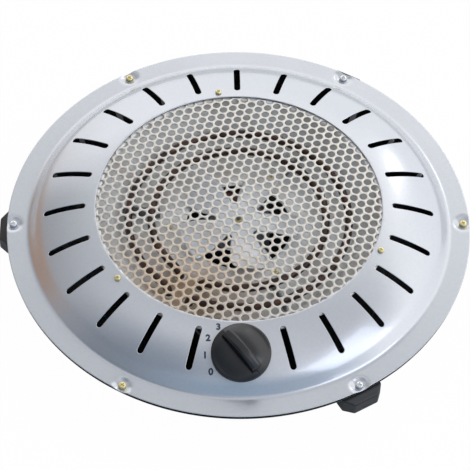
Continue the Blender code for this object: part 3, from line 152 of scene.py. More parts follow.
def rounded(outline, radius, steps=4):
    # A closed 2D outline with each corner turned into an arc; radius is one value or one per corner
    count = len(outline)
    radii = list(radius) if isinstance(radius, (list, tuple)) else [radius] * count
    result = []
    for i, (corner, r) in enumerate(zip(map(Vector, outline), radii)):
        into = Vector(outline[i - 1]) - corner
        out = Vector(outline[(i + 1) % count]) - corner
        half = into.angle(out) / 2
        if r == 0 or half > 1.55:  # nearly straight
            result.append(tuple(corner))
            continue
        reach = min(r / tan(half), 0.49 * into.length, 0.49 * out.length)
        r = reach * tan(half)
        centre = corner + (into.normalized() + out.normalized()).normalized() * (r / sin(half))
        first = corner + into.normalized() * reach - centre
        last = corner + out.normalized() * reach - centre
        start = atan2(first.y, first.x)
        sweep = (atan2(last.y, last.x) - start + pi) % tau - pi
        for step in range(steps + 1):
            angle = start + sweep * step / steps
            result.append((centre.x + r * cos(angle), centre.y + r * sin(angle)))
    return result


def turnedMesh(outline, steps):
    # A closed (r, z) outline turned round Z
    points, faces, rings = [], [], []
    for r, z in outline:
        start, onAxis = len(points), r < 1e-7
        points += [polar(r, tau * i / steps, z) for i in range(1 if onAxis else steps)]
        rings.append([start] * steps if onAxis else list(range(start, start + steps)))
    for low, high in zip(rings, rings[1:] + rings[:1]):
        for i in range(steps):
            j = (i + 1) % steps
            face = list(dict.fromkeys((low[i], low[j], high[j], high[i])))
            if len(face) > 2:
                faces.append(face)
    return points, faces


def sheetMesh(outline, holes, lift, inner=()):
    # Upper face of a sheet with holes, pressed to lift(x, y)
    flat, constraints = [], []
    for loop in (outline, *holes):
        constraints.append(list(range(len(flat), len(flat) + len(loop))))
        flat += [Vector(point) for point in loop]
    points, _, triangles, _, _, inside = delaunay_2d_cdt(flat + list(inner), [], constraints, 1, 1e-7)
    kept = [triangle for triangle, loopsIn in zip(triangles, inside) if loopsIn == [0]]
    return [(p.x, p.y, lift(p.x, p.y)) for p in points], kept


def tubeMesh(path, radii, sides):
    # A closed round tube along a path that starts upright, without twist
    points, side = [], Vector((1, 0, 0))
    for i, (p, r) in enumerate(zip(path, radii)):
        along = (path[min(i + 1, len(path) - 1)] - path[max(i - 1, 0)]).normalized()
        side = (side - along * side.dot(along)).normalized()
        other = along.cross(side)
        points += [p + (side * cos(tau * j / sides) + other * sin(tau * j / sides)) * r
                   for j in range(sides)]
    ends = [tuple(reversed(range(sides))), tuple(range(len(points) - sides, len(points)))]
    return points, gridFaces(len(path) - 1, sides) + ends


def addObject(name, data):
    thing = bpy.data.objects.new(name, data)
    bpy.context.scene.collection.objects.link(thing)
    return thing


def addPiece(name, mesh, finish, body="casing", node=None, place=None):
    mesh.materials.clear()
    mesh.materials.append(finish)
    piece = addObject(name, mesh)
    if place is not None:
        piece.matrix_world = place
    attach(piece, body)
    if node:
        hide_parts(node)
    return piece


def makePiece(name, node, shape, finish, body="casing", place=None, smooth=35, weld=False, up=None, bake=False):
    # The piece that stands for a node; up says which way an open sheet's modelled face looks, True upwards
    points, faces = shape
    mesh = bpy.data.meshes.new(name)
    mesh.from_pydata([tuple(p) for p in points], [], [tuple(f) for f in faces])
    mesh.validate()
    bm = bmesh.new()
    bm.from_mesh(mesh)
    bmesh.ops.delete(bm, geom=[v for v in bm.verts if not v.link_faces], context="VERTS")
    if weld:
        bmesh.ops.remove_doubles(bm, verts=bm.verts, dist=2e-6)
    bmesh.ops.recalc_face_normals(bm, faces=bm.faces)
    if up is not None and (sum(face.normal.z * face.calc_area() for face in bm.faces) > 0) != up:
        bmesh.ops.reverse_faces(bm, faces=bm.faces)
    bm.to_mesh(mesh)
    bm.free()
    mesh.shade_smooth()
    mesh.set_sharp_from_angle(angle=radians(smooth))
    if bake:  # a tilted piece keeps its turn in its mesh, so that its box is tight
        mesh.transform(place)
        place = None
    return addPiece(name, mesh, finish, body, node, place)


def thicken(piece, sheet):
    # Gives a modelled face its sheet's thickness, on the side away from the face
    solidify = piece.modifiers.new("Thickness", "SOLIDIFY")
    solidify.thickness, solidify.offset = sheet, -1


def breakEdges(piece, width, degrees, segments=2):
    # Rounds the edges that turn by more than an angle
    bevel = piece.modifiers.new("Edges", "BEVEL")
    bevel.width, bevel.segments = width, segments
    bevel.limit_method, bevel.angle_limit = "ANGLE", radians(degrees)


print("Making the finishes")

enamelLook = {
    "colours": ("#BEC0C4", "#C8CACE"), "flakeShare": 0.55, "metallic": 0.6,
    "roughness": (0.18, 0.27),  # clean and smudged
    "flakeMm": 1.2,  # real flake is 0.05 mm; drawn coarser so that it shows
    "peelMm": 4.0, "peelStrength": 0.10, "smudgeMm": 60, "coatRoughness": 0.03, "coatIor": 1.5,
}


def makeSilverEnamel(look):
    # Silver stove enamel: aluminium flake in lacquer, sprayed on pressed steel and stoved.
    # The eye gets a soft satin sheen under a thin clear gloss with a faint orange peel.
    finish, tree, shader, place = newFinish("SilverStoveEnamel", {
        "Metallic": look["metallic"], "Coat Weight": 1.0, "Coat Roughness": look["coatRoughness"],
        "Coat IOR": look["coatIor"]})
    flake = addNode(tree, "TexVoronoi", {"Scale": 1000 / look["flakeMm"]}, {"Vector": place})
    share = addNode(tree, "MapRange", {"To Max": look["flakeShare"]}, {"Value": flake.outputs["Color"]})
    smudge = addNode(tree, "TexNoise", {"Scale": 1000 / look["smudgeMm"], "Detail": 3.0}, {"Vector": place})
    peel = addNode(tree, "TexNoise", {"Scale": 1000 / look["peelMm"], "Detail": 1.0}, {"Vector": place})
    bump = dressShader(tree, shader, look["colours"], share.outputs["Result"],
                       (peel.outputs["Fac"], look["peelStrength"]), (smudge.outputs["Fac"], *look["roughness"]))
    tree.links.new(bump.outputs["Normal"], shader.inputs["Coat Normal"])
    return finish


sheetLook = {
    "colours": ("#C6C2BB", "#C2AE96"), "roughness": (0.31, 0.43), "spangleMm": 7, "grainMm": 1.5, "grainStrength": 0.12,
    "warmPlace": (-0.05, -0.075, 0.075), "warmSize": (0.09, 0.06, 0.06),
}


def makeZincSheet(look):
    # Bright zinc-plated sheet, punched and then pressed to a dome. It shines softly and unevenly,
    # and hot air has turned it straw yellow over the elements' ends.
    finish, tree, shader, place = newFinish("BrightZincSheet", {"Metallic": 1.0})
    spangle = addNode(tree, "TexVoronoi", {"Scale": 1000 / look["spangleMm"]}, {"Vector": place})
    grain = addNode(tree, "TexNoise", {"Scale": 1000 / look["grainMm"], "Detail": 2.0}, {"Vector": place})
    dressShader(tree, shader, look["colours"], heatPatch(tree, place, look["warmPlace"], look["warmSize"]),
                (grain.outputs["Fac"], look["grainStrength"]), (spangle.outputs["Color"], *look["roughness"]), (0, 1))
    return finish


def makeTurnedMetal(name, colours, roughness, ringMm, ringStrength, metallic=1.0, hotPlace=None, hotSize=0.055,
                    cloudMm=35):
    # A metal with fine turning or spinning rings round Z, and a tint where it has been hot or is dirty
    finish, tree, shader, place = newFinish(name, {"Metallic": metallic})
    flat = addNode(tree, "VectorMath", {"operation": "MULTIPLY", 1: (1, 1, 0)}, {0: place})
    radius = addNode(tree, "VectorMath", {"operation": "LENGTH"}, {0: flat.outputs["Vector"]})
    rings = addNode(tree, "TexNoise", {"noise_dimensions": "1D", "Scale": 1000 / ringMm, "Detail": 2.0},
                    {"W": radius.outputs["Value"]})
    cloud = addNode(tree, "TexNoise", {"Scale": 1000 / cloudMm, "Detail": 4.0}, {"Vector": place})
    share = addNode(tree, "MapRange", {"From Min": 0.45, "From Max": 0.75, "To Max": 0.6},
                    {"Value": cloud.outputs["Fac"]}).outputs["Result"]
    if hotPlace:
        share = addNode(tree, "Math", {"operation": "ADD", "use_clamp": True},
                        {0: share, 1: heatPatch(tree, place, hotPlace, (hotSize,) * 3)}).outputs["Value"]
    dressShader(tree, shader, colours, share, (rings.outputs["Fac"], ringStrength),
                (cloud.outputs["Fac"], roughness * 0.8, roughness * 1.25), depth=0.0003)
    return finish


def makeGrained(name, colours, roughness, grainMm, grainStrength, patchMm, settings):
    # A surface with a fine grain in its relief and a slow change of colour and gloss over it
    finish, tree, shader, place = newFinish(name, settings)
    patches = addNode(tree, "TexNoise", {"Scale": 1000 / patchMm, "Detail": 4.0}, {"Vector": place})
    share = addNode(tree, "MapRange", {"From Min": 0.35, "From Max": 0.7}, {"Value": patches.outputs["Fac"]})
    grain = addNode(tree, "TexNoise", {"Scale": 1000 / grainMm, "Detail": 2.0}, {"Vector": place})
    dressShader(tree, shader, colours, share.outputs["Result"], (grain.outputs["Fac"], grainStrength),
                (patches.outputs["Fac"], roughness * 0.85, min(1.0, roughness * 1.2)))
    return finish


def makeBanded(name, colours, direction, bandMm, distortion, strength, settings):
    # A metal in fine bands; a wave texture has 3.2 of them in 1 / Scale
    finish, tree, shader, place = newFinish(name, {"Metallic": 0.9, **settings})
    bands = addNode(tree, "TexWave", {"bands_direction": direction, "Scale": 1000 / bandMm / 3.2,
                                      "Distortion": distortion}, {"Vector": place}).outputs["Fac"]
    dressShader(tree, shader, colours, bands, (bands, strength))
    return finish


silverEnamel = makeSilverEnamel(enamelLook)
zincSheet = makeZincSheet(sheetLook)
# Aluminium sheet, spun over a former: faint rings, whitened by its oxide in the heat, browned by the elements' ends
spunAluminium = makeTurnedMetal("SpunAluminium", ("#F8F7F4", "#B4997F"), 0.42, 1.6, 0.12, 0.12, (-0.035, -0.075, 0.045))
# Half-hard aluminium sheet, pressed and left as rolled: bright, with brown specks from lint that has burnt on it
fanAluminium = makeTurnedMetal("RolledAluminiumSheet", ("#E9ECEF", "#A8967F"), 0.34, 2.0, 0.05, 0.6)
# Zinc electroplate, bright: a clean bluish white metal, slightly wavy from the bath
brightZinc = makeTurnedMetal("BrightZincPlate", ("#D9DBDD", "#B9BBBD"), 0.24, 0.6, 0.2)
# Zinc with a yellow chromate film: pale brass with green and pink tinges, soft shine
yellowZinc = makeTurnedMetal("YellowChromatedZinc", ("#DDD09A", "#CFC79E"), 0.3, 0.6, 0.2)
# Turned brass, slightly dulled by heat
turnedBrass = makeTurnedMetal("TurnedBrass", ("#C9A35A", "#9A7A48"), 0.3, 0.5, 0.2)
# Cold-rolled steel strip, bare and oiled: grey, with a fine rolled grain
plainSteel = makeGrained("ColdRolledSteel", ("#8D8F91", "#77797B"), 0.38, 0.8, 0.15, 15, {"Metallic": 1.0})
# Nickel-alloy sheath, oxidised by red heat: dark brown-grey with rusty patches and a soft metal shine
elementSheath = makeGrained("OxidisedNickelAlloySheath", ("#453B39", "#6B5248"), 0.32, 0.7, 0.25, 12,
                            {"Metallic": 0.85})
# ABS, injection moulded, fine spark-eroded texture: near black with a soft satin shine
knobAbs = makeGrained("MouldedBlackAbs", ("#0E0E10", "#121214"), 0.24, 0.5, 0.10, 25, {"IOR": 1.54})
# Glass-filled nylon feet, injection moulded: black, a little greyer and drier than the knob
footNylon = makeGrained("MouldedBlackNylon", ("#131416", "#1A1B1E"), 0.42, 0.6, 0.2, 18, {"IOR": 1.53})
# Black stove enamel on the pressed pan: satin under a thin gloss, faintly wavy
blackEnamel = makeGrained("BlackStoveEnamel", ("#0F1012", "#161719"), 0.4, 4.0, 0.15, 50,
                          {"Coat Weight": 0.3, "Coat Roughness": 0.2})
# EPDM rubber, moulded: dull black with a bloom of grey
glandRubber = makeGrained("MouldedEpdmRubber", ("#17181A", "#232426"), 0.7, 0.8, 0.25, 8, {"IOR": 1.52})
# Steatite, pressed and fired unglazed: warm white, dry, faint grain
steatite = makeGrained("FiredSteatite", ("#E9E4D8", "#D9D1C0"), 0.55, 0.8, 0.2, 8, {"IOR": 1.6})
# Natural nylon bobbin, moulded: milky ivory
bobbinNylon = makeGrained("MouldedNaturalNylon", ("#E3DCC8", "#D6CDB4"), 0.42, 1.0, 0.1, 12, {"IOR": 1.53})
# Wire insulation: extruded PVC is glossy, silicone rubber is dull
brownPvc = makeGrained("ExtrudedBrownPvc", ("#5A3822", "#4B2E1C"), 0.35, 1.0, 0.08, 20, {"IOR": 1.54})
bluePvc = makeGrained("ExtrudedBluePvc", ("#2C5F9E", "#265389"), 0.35, 1.0, 0.08, 20, {"IOR": 1.54})
siliconeHose = makeGrained("WhiteSiliconeSleeve", ("#D8D4CB", "#C6C1B6"), 0.6, 0.8, 0.15, 15, {"IOR": 1.41})
# Pad-printed ink: flat dark slate that covers thinly at its edges
slateInk = makeGrained("PadPrintedSlateInk", ("#232C40", "#2B344A"), 0.5, 0.5, 0.1, 3, {"IOR": 1.5})
# Enamelled copper wire, wound in layers and dipped in dark varnish: close glossy ribs, 0.25 mm wire drawn at 0.5 mm
copperWinding = makeBanded("EnamelledCopperWinding", ("#3A2014", "#6B3D24"), "X", 0.5, 0.4, 0.6,
                           {"Roughness": 0.35, "Coat Weight": 0.5, "Coat Roughness": 0.15})
# Stacked silicon-steel stampings, 0.5 mm each, drawn at 1 mm: fine level lines, dull grey-blue
siliconSteel = makeBanded("StackedSiliconSteel", ("#5C6066", "#8A8D90"), "Z", 1.0, 0.1, 0.4, {"Roughness": 0.45})

# The frame's own nodes that show as they are
nodesByFinish = [
    (turnedBrass, ["element_link", "upper_bearing", "lower_bearing", "motor_spacer_1", "motor_spacer_2"]),
    (plainSteel, ["switch_spindle", "motor_screw_1", "motor_screw_2",
                  "element_clip_1", "element_clip_2", "element_clip_3"]),
    (brightZinc, ["motor_bridge", "upper_bracket", "lower_bracket", "switch_nut"]),
    (siliconSteel, ["motor_rotor", "stator_laminations"]), (copperWinding, ["motor_coil"]),
    (steatite, ["thermal_cutout", "switch_body", "terminal_block"]), (bobbinNylon, ["coil_bobbin"]),
    (siliconeHose, ["wire_inner_element", "wire_outer_element", "wire_motor"]),
    (brownPvc, ["wire_live"]), (bluePvc, ["wire_neutral"]),
]
for finish, nodeNames in nodesByFinish:
    for nodeName in nodeNames:
        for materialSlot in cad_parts[nodeName].material_slots:
            materialSlot.material = finish

cover = {
    "flangeZ": 0.048, "sheet": 0.0008, "edgeR": 0.1869, "flangeInnerR": 0.172, "filletR": 0.005,
    "sideSlope": radians(45), "shoulderR": 0.030, "shoulderStartR": 0.157, "crownR": 0.1146,
    "openingR": 0.1148, "openingSlope": radians(6),
    "slotPlaces": 24, "knobPlace": 18, "slotInR": 0.1229, "slotOutR": 0.1568, "slotWidth": 0.0050,
    "fieldOutR": 0.1625,  # the slots' sectors end here
    "columns": 768,  # of the mesh round the flange, shared out over the sectors
    "dimpleR": 0.1819, "dimpleTop": 0.0086, "dimpleFloor": 0.0034, "dimpleDepth": 0.0018, "dimples": 6,
    "rim": 0.0003,  # rounding of the cut edges
}


def arcDrop(radius, fromSlope, toSlope):
    # How far an arc falls between two slopes
    return radius * (cos(fromSlope) - cos(toSlope))


def crownSlope(r):
    return asin(sin(cover["openingSlope"]) + (r - cover["openingR"]) / cover["crownR"])


shoulderSlope = crownSlope(cover["shoulderStartR"])
sideStartR = cover["shoulderStartR"] + cover["shoulderR"] * (sin(cover["sideSlope"]) - sin(shoulderSlope))
filletStartR = cover["flangeInnerR"] - cover["filletR"] * sin(cover["sideSlope"])
crownDrop = arcDrop(cover["crownR"], cover["openingSlope"], shoulderSlope)
shoulderDrop = arcDrop(cover["shoulderR"], shoulderSlope, cover["sideSlope"])
sideDrop = (filletStartR - sideStartR) * tan(cover["sideSlope"])
filletDrop = arcDrop(cover["filletR"], 0, cover["sideSlope"])
topZ = cover["flangeZ"] + crownDrop + shoulderDrop + sideDrop + filletDrop


def crownZ(r):
    return topZ - arcDrop(cover["crownR"], cover["openingSlope"], crownSlope(r))


def coverZ(x, y):
    # Upper face of the pressed cover: crown arc, shoulder arc, side, fillet and flange with its dimples
    r = hypot(x, y)
    if r <= cover["shoulderStartR"]:
        return crownZ(r)
    if r <= sideStartR:
        slope = asin(min(1, sin(shoulderSlope) + (r - cover["shoulderStartR"]) / cover["shoulderR"]))
        return topZ - crownDrop - arcDrop(cover["shoulderR"], shoulderSlope, slope)
    if r <= filletStartR:
        return cover["flangeZ"] + filletDrop + (filletStartR - r) * tan(cover["sideSlope"])
    z = cover["flangeZ"]
    if r < cover["flangeInnerR"]:
        z += arcDrop(cover["filletR"], 0, asin((cover["flangeInnerR"] - r) / cover["filletR"]))
    step = tau / cover["dimples"]
    centre = polar(cover["dimpleR"], round(atan2(y, x) / step) * step)
    away = hypot(x - centre.x, y - centre.y)
    return z - cover["dimpleDepth"] * eased((cover["dimpleTop"] - away) / (cover["dimpleTop"] - cover["dimpleFloor"]))


def crownFrame(r, angle):
    # A place on the crown: Z along the face's normal, X down the slope
    turn = Matrix.Rotation(angle, 4, "Z") @ Matrix.Rotation(crownSlope(r), 4, "Y")
    return Matrix.Translation(polar(r, angle, crownZ(r))) @ turn


def slottedSector(angle, halfAngle, innerR, outerR, slot, across, along):
    # Flat quads of one sector of a ring, with a round-ended slot (inner end, outer end, width) or none
    def corner(shareIn, shareTurn):
        return polar(outerR + (innerR - outerR) * shareIn, halfAngle * shareTurn).xy

    turn = Matrix.Rotation(angle, 2)
    if not slot:
        points = [turn @ corner(j / along, 2 * i / across - 1) for j in range(along + 1) for i in range(across + 1)]
        return points, gridFaces(along, across, closed=False)
    edge = [corner(0, 2 * i / across - 1) for i in range(across)]
    edge += [corner(i / along, 1) for i in range(along)]
    edge += [corner(1, 1 - 2 * i / across) for i in range(across)]
    edge += [corner(1 - i / along, -1) for i in range(along)]
    slotIn, slotOut, width = slot
    low, high = slotIn + width / 2, slotOut - width / 2

    def stadium(offset):
        half, loop = width / 2 + offset, []
        for end, other, side in ((high, low, 1), (low, high, -1)):
            angles = [pi * (i / across - side / 2) for i in range(across)]
            loop += [Vector((end + half * cos(a), half * sin(a))) for a in angles]
            loop += [Vector((end + (other - end) * i / along, side * half)) for i in range(along)]
        return loop

    offsets, shares = (0, 0.0005, 0.0012), (0.12, 0.28, 0.46, 0.65, 0.83, 1)  # an even border, then out to the edge
    rings = [stadium(offset) for offset in offsets]
    rings += [[a.lerp(b, share) for a, b in zip(rings[2], edge)] for share in shares]
    return [turn @ p for loop in rings for p in loop], gridFaces(len(rings) - 1, len(edge))


def ringGrid(radii, columns, start=0.0):
    return [p for r in radii for p in circle(r, columns, start)], gridFaces(len(radii) - 1, columns)


print("Pressing the cover")
sectors, sectorHalf = [], pi / cover["slotPlaces"]
for i in range(cover["slotPlaces"]):
    slot = None if i == cover["knobPlace"] else (cover["slotInR"], cover["slotOutR"], cover["slotWidth"])
    sectors.append(slottedSector(tau * i / cover["slotPlaces"], sectorHalf, cover["openingR"], cover["fieldOutR"],
                                 slot, cover["columns"] // cover["slotPlaces"], 20))
radii = spread(cover["fieldOutR"], sideStartR, 3) + spread(sideStartR, filletStartR, 2)[1:]
radii += [cover["flangeInnerR"] - cover["filletR"] * sin(cover["sideSlope"] * (1 - i / 6)) for i in range(1, 7)]
radii += spread(cover["flangeInnerR"], cover["edgeR"], 16)[1:]
flatPoints, faces = joined(sectors + [ringGrid(radii, cover["columns"], -sectorHalf)])
coverPiece = makePiece("cover", "top_cover", ([(p.x, p.y, coverZ(p.x, p.y)) for p in flatPoints], faces),
                       silverEnamel, weld=True, up=True)
thicken(coverPiece, cover["sheet"])
breakEdges(coverPiece, cover["rim"], 55)

grille = {
    "sheet": 0.0008, "gap": 0.0003, "sphereR": 1.1, "rimR": 0.1236, "holeR": 0.0030, "pitch": 0.0080,
    "turn": radians(15.0), "offset": (-0.00218, 0.00201), "fieldR": 0.1178,
    "punchDip": 0.00018,  # the punch draws the sheet down at each hole's rim
    "lip": 1.13,  # the dip ends here, as a share of holeR
    "holeSides": 18, "rimSides": 192, "rimRings": (0.1215, 0.1228),
}


def grilleZ(r):
    # Shallow sphere whose rim follows the cover's underside
    if r > cover["openingR"]:
        return crownZ(r) - cover["sheet"] / cos(crownSlope(r)) - grille["gap"]
    edge = crownZ(cover["openingR"]) - cover["sheet"] / cos(cover["openingSlope"]) - grille["gap"]
    return edge + sqrt(grille["sphereR"]**2 - r**2) - sqrt(grille["sphereR"]**2 - cover["openingR"]**2)


def holePlaces():
    rowStep = grille["pitch"] * sin(pi / 3)
    reach = int(grille["fieldR"] / rowStep) + 1
    turn = Matrix.Rotation(grille["turn"], 2)
    places = []
    for row in range(-reach, reach + 1):
        for column in range(-2 * reach, 2 * reach + 1):
            p = turn @ Vector((grille["pitch"] * (column + row / 2), rowStep * row)) + Vector(grille["offset"])
            if p.length < grille["fieldR"]:
                places.append(p)
    return places


print("Punching the grille")
holeR, holeSides = grille["holeR"], grille["holeSides"]
holeMiddles = holePlaces()
holes = [circle(holeR, holeSides, 0, middle) for middle in holeMiddles]
inner = [p for middle in holeMiddles for p in circle(grille["lip"] * holeR, holeSides, pi / holeSides, middle)]
inner += [p for r in grille["rimRings"] for p in circle(r, grille["rimSides"])]
middles = np.array([(p.x, p.y) for p in holeMiddles])


def grilleLift(x, y):
    nearest = np.min(np.hypot(middles[:, 0] - x, middles[:, 1] - y))
    return grilleZ(hypot(x, y)) - (grille["punchDip"] if nearest < 1.05 * holeR else 0)


grilleSheet = sheetMesh(circle(grille["rimR"], grille["rimSides"]), holes, grilleLift, inner)
thicken(makePiece("dome_grille", "grille", grilleSheet, zincSheet, up=True, smooth=60), grille["sheet"])

bowl = {
    "sheet": 0.0008, "floorZ": 0.0445, "wallR": 0.113, "wallSlope": radians(54), "cornerR": 0.014,
    "inletR": 0.0425, "inletEdge": (0.0008, 0.0006), "floorStart": 0.002,  # outside the inlet
    "topEdge": ((-0.0008, -0.0015), (-0.0002, -0.0003)), "rimStart": 0.0004,  # from the wall's top
    "rimDrop": 0.0011,  # below the grille's upper face
}
print("Spinning the reflector")
wallR, floorZ, slope, cornerR = bowl["wallR"], bowl["floorZ"], bowl["wallSlope"], bowl["cornerR"]
wallTop = grilleZ(wallR) - bowl["rimDrop"]
wallRun = (wallTop - floorZ - cornerR * (1 - cos(slope))) / tan(slope)
cornerStartR = wallR - wallRun - cornerR * sin(slope)
edgeRun, edgeDrop = bowl["inletEdge"]
face = [(bowl["inletR"], floorZ - edgeDrop), (bowl["inletR"] + edgeRun, floorZ)]
face += [(r, floorZ) for r in spread(bowl["inletR"] + bowl["floorStart"], cornerStartR, 6)]
face += [(cornerStartR + cornerR * sin(a), floorZ + cornerR * (1 - cos(a))) for a in spread(0, slope, 14)[1:]]
face += [(wallR + run, wallTop + rise) for run, rise in bowl["topEdge"]]
face += [(r, grilleZ(r) - bowl["rimDrop"]) for r in spread(wallR + bowl["rimStart"], grille["rimR"], 6)]
under = []
for i, (r, z) in enumerate(face):
    along = (Vector(face[min(i + 1, len(face) - 1)]) - Vector(face[max(i - 1, 0)])).normalized()
    under.append((r + along.y * bowl["sheet"], z - along.x * bowl["sheet"]))
makePiece("reflector_bowl", "reflector", turnedMesh(face + under[::-1], 192), spunAluminium,
          smooth=50)

element = {
    "tubeR": 0.00325, "z": 0.0545, "bendR": 0.007, "legEndZ": 0.034, "pinR": 0.0012, "pinLength": 0.006,
    "shoulder": ((0.0001, 0.8), (0.0008, 1.0)),  # height over the pin and share of tubeR
    "rings": {"inner_element": (0.0705, 244, 588), "outer_element": (0.089, 243, 591)},  # radius, start, end
}
print("Bending the elements")
tubeR, bendR, legEndZ = element["tubeR"], element["bendR"], element["legEndZ"]
leg = [(0, legEndZ - element["pinLength"], element["pinR"]), (0, legEndZ, element["pinR"])]
leg += [(0, legEndZ + rise, tubeR * share) for rise, share in element["shoulder"]]
leg += [(bendR * (1 - cos(a)), element["z"] - bendR * (1 - sin(a)), tubeR)
        for a in spread(0, pi / 2, 9)[:-1]]
for node, (ringR, start, end) in element["rings"].items():
    start, end = radians(start), radians(end)
    stations = [(start + run / ringR, z, r) for run, z, r in leg]
    stations += [(a, element["z"], tubeR) for a in spread(start + bendR / ringR, end - bendR / ringR, 150)]
    stations += [(end - run / ringR, z, r) for run, z, r in reversed(leg)]
    makePiece(node + "_tube", node, tubeMesh([polar(ringR, a, z) for a, z, r in stations],
                                             [r for a, z, r in stations], 20),
              elementSheath, smooth=50)

bush = {
    "boreR": 0.00355, "bodyR": 0.005, "collarR": 0.0075, "collarLow": 0.0404, "collarTop": 0.0434, "top": 0.047,
    "rounding": (0.0003, 0.0006, 0.0004, 0.0002, 0.0006, 0.0003),  # of its corners from the bore round to the bore
}
print("Firing the bushes")
outline = rounded([(bush["boreR"], bush["collarLow"]), (bush["collarR"], bush["collarLow"]),
                   (bush["collarR"], bush["collarTop"]), (bush["bodyR"], bush["collarTop"]),
                   (bush["bodyR"], bush["top"]), (bush["boreR"], bush["top"])], bush["rounding"])
legPlaces = [(ringR, angle) for ringR, start, end in element["rings"].values() for angle in (start, end)]
for i, (ringR, angle) in enumerate(legPlaces):
    makePiece(f"bush_{i + 1}", f"ceramic_bush_{i + 1}", turnedMesh(outline, 40), steatite,
              place=Matrix.Translation(polar(ringR, radians(angle))))

fan = {
    "r": 0.050, "sheet": 0.0008, "z": 0.0522, "blades": 5, "first": radians(65), "rootR": 0.017,
    "rootHalf": radians(29), "tipHalf": radians(17), "pitch": radians(-20), "boreR": 0.0023,
    "rootRound": 0.004, "tipRound": 0.006, "rim": 0.0002, "tipShares": (-0.4, 0, 0.4),  # of tipHalf
    "inset": 0.85, "hubRings": (0.006, 0.010, 0.014),  # of the mesh's inner points
}
print("Cutting and twisting the fan")
bladeSide = list(zip(spread(fan["rootR"], fan["r"], 8), spread(fan["rootHalf"], fan["tipHalf"], 8)))
outline, radii, inner = [], [], []
for blade in range(fan["blades"]):
    middle = fan["first"] + tau * blade / fan["blades"]
    outline += [polar(r, middle - half).xy for r, half in bladeSide]
    outline += [polar(fan["r"], middle + fan["tipHalf"] * share).xy for share in fan["tipShares"]]
    outline += [polar(r, middle + half).xy for r, half in reversed(bladeSide)]
    radii += [fan["rootRound"]] + [0] * 7 + [fan["tipRound"], 0, 0, 0, fan["tipRound"]] + [0] * 7 + [fan["rootRound"]]
    inner += [polar(r, middle + half * share).xy for r, half in bladeSide[1:-1]
              for share in spread(-fan["inset"], fan["inset"], 8)]
inner += [p for r in fan["hubRings"] for p in circle(r, 30)]


def fanZ(x, y):
    # Flat hub, and blades that turn about their own centre lines
    r, step = hypot(x, y), tau / fan["blades"]
    off = (atan2(y, x) - fan["first"] + step / 2) % step - step / 2
    share = min(1.0, max(0.0, (r - fan["rootR"]) / fan["rootR"]))
    return fan["z"] + share * tan(fan["pitch"]) * r * sin(off)


fanPiece = makePiece("fan_wheel", "fan", sheetMesh(rounded(outline, radii), [circle(fan["boreR"], 24)], fanZ, inner),
                     fanAluminium, "fan_rotor", up=True)
thicken(fanPiece, fan["sheet"])
breakEdges(fanPiece, fan["rim"], 60)

# name: node, finish, slot, inner and outer radius, rounding of the corners, sides, smoothing angle
onShaft = {
    "fan_bush": ("fan_hub", turnedBrass, "brass", 0.0023, 0.006, 0.0004, 40, 35),
    "shaft_nut": ("fan_nut", yellowZinc, "yellow_zinc", 0.0022, 0.004, [0.0001, 0.0004, 0.0006, 0.0002], 6, 25),
    "motor_axle": ("motor_shaft", plainSteel, "plain_steel", 0, 0.002, [0, 0.0005, 0.0006, 0], 32, 35),
}
for name, (node, finish, slot, innerR, outerR, rounding, sides, smooth) in onShaft.items():
    low, high = (corner.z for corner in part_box(node))
    outline = rounded([(innerR, low), (outerR, low), (outerR, high), (innerR, high)], rounding)
    makePiece(name, node, turnedMesh(outline, sides), finish, "fan_rotor", smooth=smooth)

screw = {
    "shankR": 0.0015, "headH": 0.0019, "lift": 0.0003, "headEdge": (0.0002, 0.0003),  # run and rise under its rim
    "dome": 0.22, "shoulder": 0.30, "shoulderFrom": 0.75,  # shares of headH and headR
    "thread": 0.0005, "core": 0.86, "tip": 0.6, "tipR": 0.0002,  # core and tip as shares of shankR
    "crossLength": 0.0019, "crossWidth": 0.00042, "crossDepth": 0.0011, "crossRise": 0.5,  # half length and half width
    "crossFor": 0.0033,  # the head that this cross fits; it shrinks with a smaller head
    "rimTurns": (20, 65, 38, 10, 51, 80), "rimHeadR": 0.0030, "rimLength": 0.007, "footLength": 0.013,
    "domeAngles": (97.5, 217.5, 337.5), "domeR": 0.1205, "domeHeadR": 0.0025, "domeLength": 0.0065,
    "floorAngles": (61, 181, 301), "floorR": 0.056, "floorHeadR": 0.0028, "floorLength": 0.006,
}


def screwMesh(headR, length):
    # Pan head with a cross recess, on its seat at the origin, shank downwards with its thread
    rows, columns = 22, 64
    crossLength, crossWidth = (screw[key] * headR / screw["crossFor"] for key in ("crossLength", "crossWidth"))
    shankR, lift, pitch = screw["shankR"], screw["lift"], screw["thread"]
    points = []
    for j in range(rows + 1):
        share = j / rows
        for i in range(columns):
            x, y = (headR * share * turned(tau * i / columns) for turned in (cos, sin))
            beyond = max(0, (share - screw["shoulderFrom"]) / (1 - screw["shoulderFrom"]))
            z = screw["headH"] * (1 - screw["dome"] * share**2 - screw["shoulder"] * beyond**3)
            for along, aside in ((abs(x), abs(y)), (abs(y), abs(x))):
                if along < crossLength and aside < crossWidth:
                    slope = 1 - screw["crossRise"] * along / crossLength
                    z = min(z, screw["headH"] - screw["crossDepth"] * slope)
            points.append((x, y, lift + z))
    edgeRun, edgeRise = screw["headEdge"]
    below = [(headR, lift + edgeRise), (headR - edgeRun, lift), (shankR, lift)]
    below += [(shankR * (screw["core"] if i % 2 else 1.0), -pitch - pitch * i) for i in range(int(length / pitch) - 1)]
    below += [(shankR * screw["tip"], -length + screw["tipR"]), (screw["tipR"], -length)]
    points += [polar(r, tau * i / columns, z) for r, z in below for i in range(columns)]
    return points, gridFaces(rows + len(below), columns) + [tuple(range(len(points) - columns, len(points)))]


